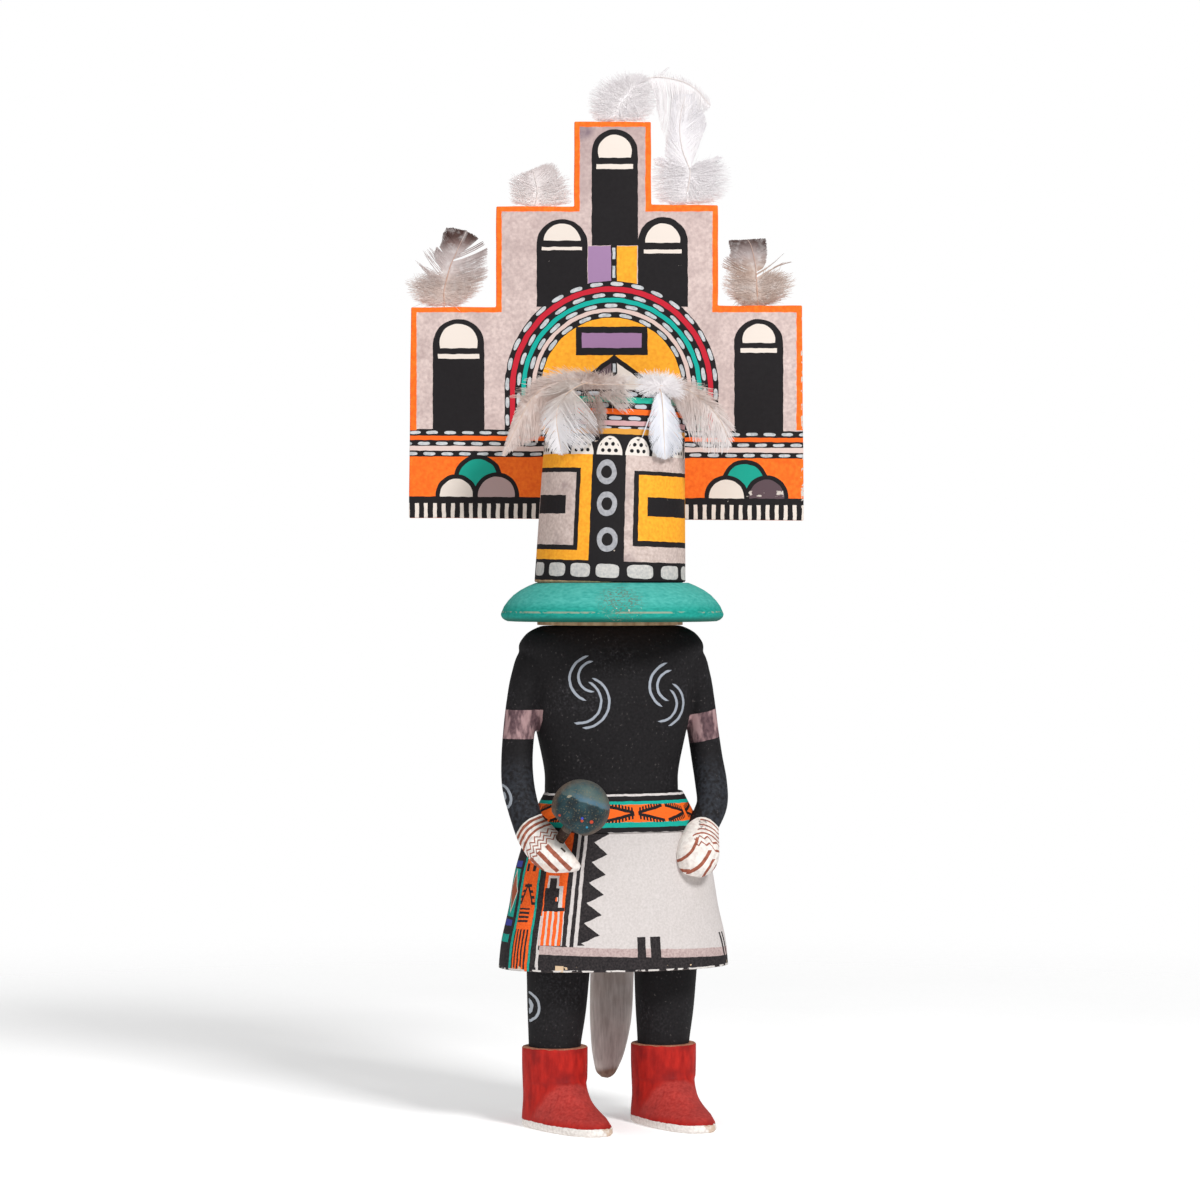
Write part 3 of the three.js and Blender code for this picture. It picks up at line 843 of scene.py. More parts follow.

# The ruff
# A wide bell-shaped ring of wood around the foot of the mask, in teal paint that is rubbed pinkish
# along its lower edge. Its upper slope is lighter as painted light, and its underside darker as
# painted shade.

foot_radius = 29.2
ruff_profile = [
    (40.2, 202.6),
    (42, 202.7),
    (43.2, 203.2),
    (44.1, 203.9),
    (44.6, 204.8),
    (44.7, 205.6),
    (44.4, 206.4),
    (43.4, 208.7),
    (41.8, 210.9),
    (39.6, 213.2),
    (36.8, 215.2),
    (33.5, 216.9),
    (30.6, 218.1),
    (foot_radius + 0.4, 218.1),
    (foot_radius + 0.4, 202.6),
]
ruff = bmesh.new()
rim = [ruff.verts.new((radius, 0, height)) for radius, height in ruff_profile]
outline = [ruff.edges.new(pair) for pair in zip(rim, rim[1:] + rim[:1])]
bmesh.ops.spin(
    ruff,
    geom=rim + outline,
    cent=(0, 0, 0),
    axis=(0, 0, 1),
    angle=math.tau,
    steps=144,
    use_merge=True,
    use_duplicate=False,
)
bmesh.ops.remove_doubles(ruff, verts=ruff.verts, dist=0.001)
bmesh.ops.recalc_face_normals(ruff, faces=ruff.faces)
ruff_place = drawing @ Matrix.Translation((RUFF_X, RUFF_Y, 0))
bmesh.ops.transform(ruff, matrix=ruff_place, verts=ruff.verts)


def ruff_pattern(at):
    x, y, z = at.parts()
    radius = at.vector("MULTIPLY", (1, 1, 0)).vector("LENGTH", out=1)
    brushed = at.speckle(0.6, 4, (0.5, 0.5, 1.4))
    cloudy = at.speckle(6, 4)
    # painted light: a lighter teal on the upper slope, which faces the light from above
    light = brushed.shades((54, 156, 147), (86, 182, 172))
    colour = brushed.shades((12, 134, 122), (34, 161, 147))
    colour = colour.mixed(z.soft(206.5, 211.5) * (0.7 + cloudy * 0.4), light)
    # painted shade: a darker green on the underside, below the widest edge
    colour = colour.mixed(z.soft(205.2, 203), paint(8, 96, 82))
    # rubbed along its lower edge and in the middle of the front
    uneven = (brushed * 0.5 + cloudy * 0.5).soft(0.46, 0.54)
    arris = z.between(206.1, 206.8) & (radius > 43) & uneven
    colour = colour.mixed(arris * 0.5, paint(186, 158, 132))
    near = at.vector("DISTANCE", (3, -39, 210), out=1).soft(12, 3)
    scuff = near * at.speckle(0.3, 3, (0.6, 0.6, 1.6)).soft(0.48, 0.6)
    colour = colour.mixed(scuff * 0.8, paint(98, 92, 78))
    pale = near * at.speckle(0.45, 2).soft(0.66, 0.7) * z.soft(210, 208)
    colour = colour.mixed(pale, paint(214, 206, 190))
    return colour, 0.58 + brushed * 0.25, brushed * 0.05 + cloudy * 0.15 - scuff * 0.05


ruff_paint = finish("ruff paint", ruff_place, ruff_pattern)
add_piece("painted_ruff", ruff, ruff_paint, ["ruff"], 40)

# The mask
# A slightly tapered cylinder that leans to the right, turned apart and set over the shoulders.
# Its foot is bare wood inside the ruff. Woven-looking bands run around its top, and each cheek
# has a framed box with a bar for the eye, on both sides of a black band with three rings.

mask_foot, mask_top = 218.4, 294.5
MASK_X, MASK_Y, mask_lean = -0.4, 6, 2.4
board_front, board_thick, board_rounding = 23.3, 5, 0.5
board_middle = board_front + board_thick / 2
gap = 0.3
mask_rows = [
    [shoulder_top + gap, foot_radius, 0],
    [mask_foot - 0.1, foot_radius, 0],
    [mask_foot, 30, 0],
    [mask_foot + 0.4, 30.3, 0],
    [mask_top - 1.1, 27.55, 1],
    [mask_top - 0.5, 27.3, 1],
    [mask_top, 26.6, 1],
]
mask = bmesh.new()


def mask_ring(row, angle):
    height, radius, share = row
    side = rounded(angle)
    return Vector((MASK_X + mask_lean * share + radius * side.x, MASK_Y + radius * side.y, height))


loft(mask, mask_rows, mask_ring, 160)
# the part behind the board's front is cut away, for the board to stand in
notch_foot = 243.1
for corner, facing in (((0, board_front - gap, 0), (0, 1, 0)), ((0, 0, notch_foot), (0, 0, 1))):
    bmesh.ops.bisect_plane(
        mask, geom=mask.verts[:] + mask.edges[:] + mask.faces[:], plane_co=corner, plane_no=facing
    )
behind = [
    face
    for face in mask.faces
    if face.calc_center_median().y > board_front - gap and face.calc_center_median().z > notch_foot
]
bmesh.ops.delete(mask, geom=behind, context="FACES")
bmesh.ops.holes_fill(mask, edges=[edge for edge in mask.edges if edge.is_boundary], sides=0)
bmesh.ops.recalc_face_normals(mask, faces=mask.faces)
bmesh.ops.transform(mask, matrix=drawing, verts=mask.verts)
lean_angle = math.atan(mask_lean / (mask_top - mask_foot))
mask_place = drawing @ Matrix.Translation((MASK_X, MASK_Y, mask_foot))
mask_place = mask_place @ Matrix.Rotation(lean_angle, 4, "Y")
amber = paint(255, 180, 50)
dash_grey = paint(186, 190, 196)


def dashes(along, across, pitch, length, thick):
    """A row of round-ended brush strokes, from how far along it and across it a point is."""
    step = ((along % pitch) - pitch / 2) / (length / 2)
    rise = across / (thick / 2)
    return (step * step * step * step + rise * rise) < 1


def mask_pattern(at):
    moved = at.shaky(0.14, 1.7)
    x, y, z = moved.parts()
    turn = x.math("ARCTAN2", y * -1) * math.degrees(1)
    brushed = at.speckle(0.6, 4)
    cloudy = at.speckle(5, 4)
    wash = brushed.shades((186, 165, 157), (217, 199, 192))
    wash = wash.mixed(cloudy.soft(0.48, 0.72) * 0.65, paint(146, 126, 126))
    ochre = brushed.ramp(0.3, 0.7, first=paint(240, 152, 36), last=amber)
    band_colours = (
        (0, black),
        (58.4, paint(214, 150, 60)),
        (60.4, black),
        (61.6, paint(198, 156, 158)),
        (63.6, black),
        (66, orange),
        (68.2, black),
        (70.9, paint(40, 176, 150)),
        (73, black),
    )
    colour = z.bands(band_colours, 0, 80)
    # strokes on the black bands around the top
    for height, shift, thick in ((61, 0, 0.8), (64.8, 8, 1.5), (69.6, 3, 1.7), (74.3, 11, 1.6)):
        stroke = dashes(turn + 720 + shift, z - height, 16, 10.5, thick)
        colour = colour.mixed(stroke, dash_grey)
    # a row of white half-domes with black dots
    dome_pitch = 23.0
    sides = ((turn + 3.8 + dome_pitch / 2) % dome_pitch) - dome_pitch / 2
    dome_x = sides / 10.2
    dome_z = (z - 50.2) / 7.4
    out = dome_x * dome_x + dome_z * dome_z
    dome = (out < 1) & (z > 50.2)
    colour = colour.mixed(dome, dome_white)
    row = ((z - 50.7) / 2.5).math("FLOOR")
    dot_x = ((sides + (row % 2) * 2.6 + 2.6) % 5.2) - 2.6
    dot_z = ((z - 50.7) % 2.5) - 1.25
    dot = (dot_x * dot_x * 0.26 + dot_z * dot_z) < 0.6
    colour = colour.mixed(dot & (out < 0.78) & dome, black)

    def block(left, right, low, high):
        return turn.between(left, right) & z.between(low, high)

    cheeks = z.between(8.3, 50.2)
    colour = colour.mixed(cheeks, ochre)
    colour = colour.mixed(cheeks & (turn > 9.6), wash)
    colour = colour.mixed(cheeks & turn.between(-17.2, 9.6), black)
    # the left box is mauve in an ochre frame, the right one ochre in a mauve frame
    colour = colour.mixed(block(-112, -26.7, 12.2, 44.8), black)
    colour = colour.mixed(block(-108, -30.5, 14.2, 43.0), wash)
    colour = colour.mixed(block(-84, -39.5, 26.5, 33.9), black)
    colour = colour.mixed(block(16.4, 112, 14.4, 44.2), black)
    colour = colour.mixed(block(20.6, 108, 16.6, 42.6), ochre)
    colour = colour.mixed(block(28.3, 84, 26.4, 34.0), black)
    # behind the board it has the plain wash
    colour = colour.mixed(cheeks & (turn.math("ABSOLUTE") > 112), wash)
    # three rings down the middle
    ring_grey = brushed.shades((146, 146, 152), (176, 176, 180))
    for ring_turn, height in ((-5.5, 43.4), (-4.4, 30.8), (-3.3, 16.7)):
        ring_x = (turn - ring_turn) * 0.52 / 4.1
        ring_z = (z - height) / 4.85
        away = ring_x * ring_x + ring_z * ring_z
        colour = colour.mixed(away.between(0.28, 1.0), ring_grey)
    # strokes around the foot, painted one by one
    strokes = []
    for left, right in (
        (-81, -61.3),
        (-54, -36.7),
        (-31.6, -15.6),
        (-10.9, 6.4),
        (12.5, 33.9),
        (41.6, 63.3),
        (69.2, 88),
        (96, 114),
        (122, 141),
        (149, 168),
        (-174, -156),
        (-148, -130),
        (-122, -104),
    ):
        aside = ((turn - (left + right) / 2) / ((right - left) / 2)).math("POWER", 4)
        strokes.append((aside + ((z - 4.4) / 2.7).math("POWER", 4)) < 1)
    pale = brushed.shades((178, 176, 176), (214, 208, 202))
    colour = colour.mixed(any_of(strokes), pale)
    # bare wood below the paint, and a greyer black top
    wood = at.speckle(1.4, 4, (1, 1, 0.2)).shades((160, 122, 90), (206, 172, 136))
    colour = colour.mixed(z < 0.05, wood)
    colour = colour.mixed(z > 75.7, brushed.shades((58, 50, 48), (96, 84, 80)))
    chip = at.speckle(1.3, 5).soft(0.74, 0.76)
    colour = colour.mixed(chip, paint(206, 190, 176))
    return colour, 0.6 + brushed * 0.28, brushed * 0.05 - chip * 0.1


mask_paint = finish("mask paint", mask_place, mask_pattern)
add_piece("painted_mask", mask, mask_paint, ["mask"], 30)

# The tablita
# A flat board with three steps on each side, let into the back of the mask. Its front is painted
# with black door-like arches with cream tops, a rainbow over a yellow field, clouds and bands. Its
# edges are orange, and its back has only the mauve wash.

board_foot_left, board_foot_right = 244.4, 243.4
step_tops = ((329.9, 330.6), (370.8, 371.4), (405.1, 405.1))
step_sides = ((-81.1, 77.6), (-46.6, 43.5), (-14.9, 16.3))
corners = [(-82, board_foot_left), (78.3, board_foot_right)]
for i in range(3):
    corners.append((step_sides[i][1], step_tops[i][1]))
    if i < 2:
        corners.append((step_sides[i + 1][1], step_tops[i][1]))
for i in (2, 1, 0):
    if i < 2:
        corners.append((step_sides[i + 1][0], step_tops[i][0]))
    corners.append((step_sides[i][0], step_tops[i][0]))
board = bmesh.new()
board_verts = [board.verts.new((x, board_front, z)) for x, z in corners]
board.faces.new(board_verts)
bmesh.ops.subdivide_edges(board, edges=board.edges[:], cuts=7)
elsewhere = Vector((9, 9, 9))
for vert in board.verts:
    # sawn and sanded by hand, so no edge is quite straight
    spot = vert.co * 0.09
    vert.co += Vector((noise.noise(spot), 0, noise.noise(spot + elsewhere))) * 0.25
grown = bmesh.ops.extrude_face_region(board, geom=board.faces[:])["geom"]
board_back = [part for part in grown if isinstance(part, bmesh.types.BMVert)]
bmesh.ops.translate(board, vec=(0, board_thick, 0), verts=board_back)
bmesh.ops.recalc_face_normals(board, faces=board.faces)
board_rims = [edge for edge in board.edges if edge.calc_face_angle(0) > 1]
bmesh.ops.bevel(
    board, geom=board_rims, offset=board_rounding, segments=3, profile=0.5, affect="EDGES"
)
bmesh.ops.transform(board, matrix=drawing, verts=board.verts)
# half width, top and foot of each black arch, and of the cream dome and bar on it
arches = (
    (1.6, 9.4, 402.0, 354.9, 6.9, 399.8, 390.5, 387.9, 385.9),
    (-19.8, 10.3, 365.6, 330.0, 7.55, 363.8, 356.9, 354.3, 353.0),
    (21.1, 10.15, 366.4, 330.0, 7.0, 363.8, 356.0, 353.3, 351.7),
    (-61.8, 10.45, 325.1, 279.9, 7.8, 323.1, 313.2, 310.9, 309.0),
    (60.0, 9.95, 325.1, 278.9, 6.7, 323.1, 315.4, 313.2, 311.4),
)
rainbow_x, rainbow_z = 0.3, 297.1


def board_pattern(at):
    moved = at.shaky(0.16, 2.0)
    x, y, z = moved.parts()
    flat = moved.flat()
    brushed = at.speckle(0.7, 5)
    cloudy = at.speckle(6, 5)
    wash = brushed.shades((190, 168, 164), (222, 202, 196), 0.28, 0.72)
    wash = wash.mixed(cloudy.soft(0.42, 0.75) * 0.45, paint(166, 144, 142))
    # thinner towards the top, over darker wood
    wash = wash.mixed(z.soft(340, 410) * (0.25 + cloudy * 0.4), paint(150, 124, 126))
    smudge = flat.apart(-11.2, 401.8).soft(5.5, 1.5) * cloudy.soft(0.3, 0.5)
    wash = wash.mixed(smudge * 0.75, paint(88, 70, 94))
    dash = brushed.shades((150, 156, 160), (204, 206, 208), 0.2, 0.6)
    field = brushed.ramp(0.3, 0.7, first=paint(242, 156, 38), last=amber)
    glow = brushed.shades((240, 98, 24), (255, 122, 38))

    def block(left, right, low, high):
        return x.between(left, right) & z.between(low, high)

    def disc(middle_x, middle_z, radius):
        return flat.apart(middle_x, middle_z) < radius

    colour = wash
    for middle, half, top, foot, dome_half, dome_top, dome_foot, bar_top, bar_foot in arches:
        arch = block(middle - half, middle + half, foot, top - half)
        colour = colour.mixed(arch | disc(middle, top - half, half), black)
        dome = disc(middle, dome_top - dome_half, dome_half) & (z > dome_foot)
        bar = block(middle - dome_half - 0.6, middle + dome_half + 0.6, bar_foot, bar_top)
        colour = colour.mixed(dome | bar, cream)
    # the three little panels above the rainbow
    colour = colour.mixed(block(-9.3, 0.1, 339, 354.7), paint(160, 126, 164))
    colour = colour.mixed(block(2.5, 10.6, 339, 354.7), field)
    colour = colour.mixed(block(0.1, 2.5, 339, 354.9), black)
    colour = colour.mixed(block(0.7, 1.9, 349.5, 353.9) | block(0.7, 1.9, 341.8, 346.6), dash)
    # the rainbow: bands around a yellow field, round above and upright below
    side = x - rainbow_x
    rise = (z - rainbow_z) | 0
    radius = (side * side + rise * rise).math("SQRT")
    rainbow_bands = (
        (0, amber),
        (28.5, black),
        (30.8, paint(220, 194, 186)),
        (32.3, black),
        (34.7, paint(16, 170, 156)),
        (36.5, black),
        (38.9, paint(196, 34, 52)),
        (41.1, black),
    )
    rainbow = (radius < 43.4) & (z > 280)
    colour = colour.mixed(rainbow, radius.bands(rainbow_bands, 0, 50))
    colour = colour.mixed(rainbow & (radius < 28.5), field)
    around = side.math("ARCTAN2", rise) + side.math("SIGN") * ((rainbow_z - z) | 0) * 0.028
    for middle, shift in ((42.3, 0.0), (37.7, 0.11), (33.5, 0.05), (29.6, 0.16)):
        stroke = dashes((around + 6.6 + shift) * middle, radius - middle, 8.4, 5.2, 1.5)
        colour = colour.mixed(stroke & rainbow, dash)
    # the framed purple block and the mountain below it
    colour = colour.mixed(block(-14.1, 14.9, 310.4, 322), black)
    colour = colour.mixed(block(-11.8, 12.5, 313.4, 319.4), paint(158, 120, 158))
    across = (x - 1.4).math("ABSOLUTE")
    peak = across * 0.74 + z
    shown = (z > 290) & (across < 14)
    inside = shown & (peak < 308.2)
    colour = colour.mixed(shown & (peak < 310.6), black)
    colour = colour.mixed(inside & (x < 0.1), paint(96, 78, 84))
    colour = colour.mixed(inside & (x > 2.5), cream)
    colour = colour.mixed(block(0.7, 1.9, 298, 301.5) | block(0.7, 1.9, 303.5, 307), dash)
    # the bands below, a little lower at the right, and the black fringe on cream
    fall = z + x * 0.0062 + 0.4
    below = (
        (244, cream),
        (250.3, black),
        (253, orange),
        (269.2, black),
        (271.6, paint(222, 198, 190)),
        (273.4, black),
        (275.8, orange),
        (277.6, black),
    )
    lower = fall < 280.4
    colour = colour.mixed(lower, fall.bands(below, 240, 290))
    colour = colour.mixed(fall.between(253.2, 269), glow)
    colour = colour.mixed(lower & (fall < 250.4) & (((x + 81.6) % 3.65) < 2.1), black)
    for height, shift in ((279, 0.0), (274.6, 3.5), (270.4, 1.2)):
        stroke = dashes(x + 400 + shift, fall - height, 7.2, 4.8, 1.3)
        colour = colour.mixed(stroke, dash)
    # a cloud of three lobes at each side
    above = fall > 253
    for middle_x, middle_z, size, tint in (
        (-53.9, 260.2, 8.9, paint(24, 160, 140)),
        (-62.7, 253.6, 7.6, cream),
        (-46.4, 253.6, 8.4, mauve),
        (54.4, 258.4, 8.7, paint(24, 160, 140)),
        (46.9, 252.8, 8.0, cream),
        (63.2, 252.8, 8.0, paint(92, 74, 80)),
    ):
        lobe = flat.apart(middle_x, middle_z)
        colour = colour.mixed((lobe < size + 0.9) & above, black)
        colour = colour.mixed((lobe < size - 0.9) & above, tint)
    # the orange border around the steps
    inner = z < 280
    for i, (left, right) in enumerate(step_sides):
        inner = inner | (x.between(left + 2.3, right - 2.3) & (z < min(step_tops[i]) - 2.1))
    colour = colour.mixed(1 - inner, glow)
    # the orange edges and the plain back
    colour = colour.mixed(y > board_front + 0.45, glow)
    colour = colour.mixed(y > board_front + board_thick - 0.45, wash)
    chip = at.speckle(1.2, 5).soft(0.76, 0.78)
    rubbed = at.speckle(1.2, 4).soft(0.56, 0.58) & (block(54, 70, 253, 255.4) | (x > 77.2))
    colour = colour.mixed(chip | rubbed, paint(206, 196, 188))
    return colour, 0.6 + brushed * 0.28, brushed * 0.05 + cloudy * 0.1 - (chip | rubbed) * 0.08


board_paint = finish("board paint", drawing, board_pattern)
add_piece("painted_board", board, board_paint, ["tablita"], 30)

# The board's feathers
# Real body feathers and down, with their quills in small holes in the board's upper edges.
# Each has a thin shaft, close barbs off both its sides, and loose down around its foot.

dice = random.Random(7)
barb_thick, feather_glow = 0.3, 0.22
highest = 427.7


def strands(name, paths, thick):
    """Thin round strands along paths of points, each with its share of the thickness."""
    curve = bpy.data.curves.new(name, "CURVE")
    curve.dimensions = "3D"
    curve.bevel_depth = thick / 2 * MM
    curve.bevel_resolution = 0
    curve.use_fill_caps = True
    for path in paths:
        spline = curve.splines.new("POLY")
        spline.points.add(len(path) - 1)
        for point, (spot, share) in zip(spline.points, path):
            point.co = (*(drawing @ spot), 1)
            point.radius = share
    holder = bpy.data.objects.new(name, curve)
    bpy.context.scene.collection.objects.link(holder)
    shown = holder.evaluated_get(bpy.context.evaluated_depsgraph_get())
    mesh = bpy.data.meshes.new_from_object(shown)
    made = bmesh.new()
    made.from_mesh(mesh)
    bpy.data.objects.remove(holder)
    bpy.data.curves.remove(curve)
    bpy.data.meshes.remove(mesh)
    return made


def jitter(reach):
    return Vector([dice.uniform(-reach, reach) for _ in range(3)])


def along(points, t):
    """The point at share t of a line through these points."""
    place = t * (len(points) - 1)
    i = min(int(place), len(points) - 2)
    return points[i].lerp(points[i + 1], place - i)


def fan(shaft, first, last, edge, count, loose=0.08, bend=0.1, puff=0.4, thick=1.0, short=0):
    """Barbs from a stretch of the shaft, between two shares of it, to along an edge. Loose ones
    fall short of the edge and stray, and a negative bend lets them curve back. Two in three of
    short ones, with their length in millimetres, fill the way out as the fuzz of the down."""
    paths = []
    for i in range(count):
        t = (i + dice.random()) / count
        share = first + (last - first) * t
        start, end = along(shaft, share), along(edge, t)
        ahead = along(shaft, min(1, share + 0.05)) - along(shaft, max(0, share - 0.05))
        ahead.normalize()
        end = start.lerp(end, 1 - loose * dice.random() ** 1.5) + jitter(loose * 1.6)
        end.y += dice.uniform(-puff, puff)
        reach = (end - start).length
        steps = 3
        if short and i % 3 and reach > short:
            steps = 2
            way = dice.random() ** 0.7 * (1 - 0.8 * short / reach)
            start = start.lerp(end, way) + jitter(0.7)
            astray = ((end - start).normalized() + jitter(0.6)).normalized()
            end = start + astray * short * dice.uniform(0.5, 1)
            reach = (end - start).length
        middle = start.lerp(end, 0.5) - ahead * reach * bend + jitter(loose * reach * 0.16)
        path = []
        for k in range(steps + 1):
            u = k / steps
            spot = start * (1 - u) ** 2 + middle * (2 * u * (1 - u)) + end * u**2
            spot.z = min(spot.z, highest)
            path.append((spot, thick * (1 - 0.65 * u)))
        paths.append(path)
    return paths


def feather_finish(name, shades, axis=2):
    """Feather shades, each from its height on, or from its place to the right where axis is 0."""

    def pattern(at):
        streak = at.speckle(1.2, 4)
        place = at.parts()[axis] + streak * 4 - 2
        stops = [(spot, paint(*tint)) for spot, tint in shades]
        colour = place.bands(stops, shades[0][0], shades[-1][0], "LINEAR")
        colour = colour.mixed(streak.soft(0.45, 0.7) * 0.3, paint(224, 221, 220))
        return colour, 0.75 + streak * 0.15, streak * 0.02

    material = finish(name, drawing, pattern)
    shader = material.node_tree.nodes["Principled BSDF"]
    tint = shader.inputs["Base Color"].links[0].from_socket
    # the barbs glow a little in their own colour: painted light that keeps those in shadow pale, as
    # light let through real barbs would
    material.node_tree.links.new(tint, shader.inputs["Emission Color"])
    shader.inputs["Emission Strength"].default_value = feather_glow
    return material


def add_feather(name, shades, shaft, fans, placed, ahead, axis=2):
    """Adds a feather, and gives the line of its quill, which lies this far ahead of the barbs."""
    paths = []
    for first, last, edge, count, options in fans:
        paths += fan(shaft, first, last, placed(edge), count, **options)
    node = "feather_" + name
    material = feather_finish(name.replace("_", " ") + " feather", shades, axis)
    add_piece("real_" + node, strands(name, paths, barb_thick), material, [node])
    line = smoothed([(v.x, v.y - ahead, v.z) for v in shaft], 4)
    return [(Vector(spot), 1 - 0.75 * i / len(line)) for i, spot in enumerate(line)]


def in_board(points):
    """A line of a feather in the middle of the board's thickness."""
    return [Vector((x, board_middle, z)) for x, z in points]


beige, white_down = (198, 183, 175), (220, 216, 217)
tip_brown, vane_grey = (80, 60, 56), (166, 153, 151)
soft_brown = (176, 153, 140)
LOOSE, FLUFF = {"loose": 0.3}, {"loose": 0.5, "puff": 2.2, "thick": 0.75, "bend": 0, "short": 6}
CLOSE = {"thick": 1.3}
TUFTS = {"loose": 0.5, "thick": 0.85, "bend": 0.25}
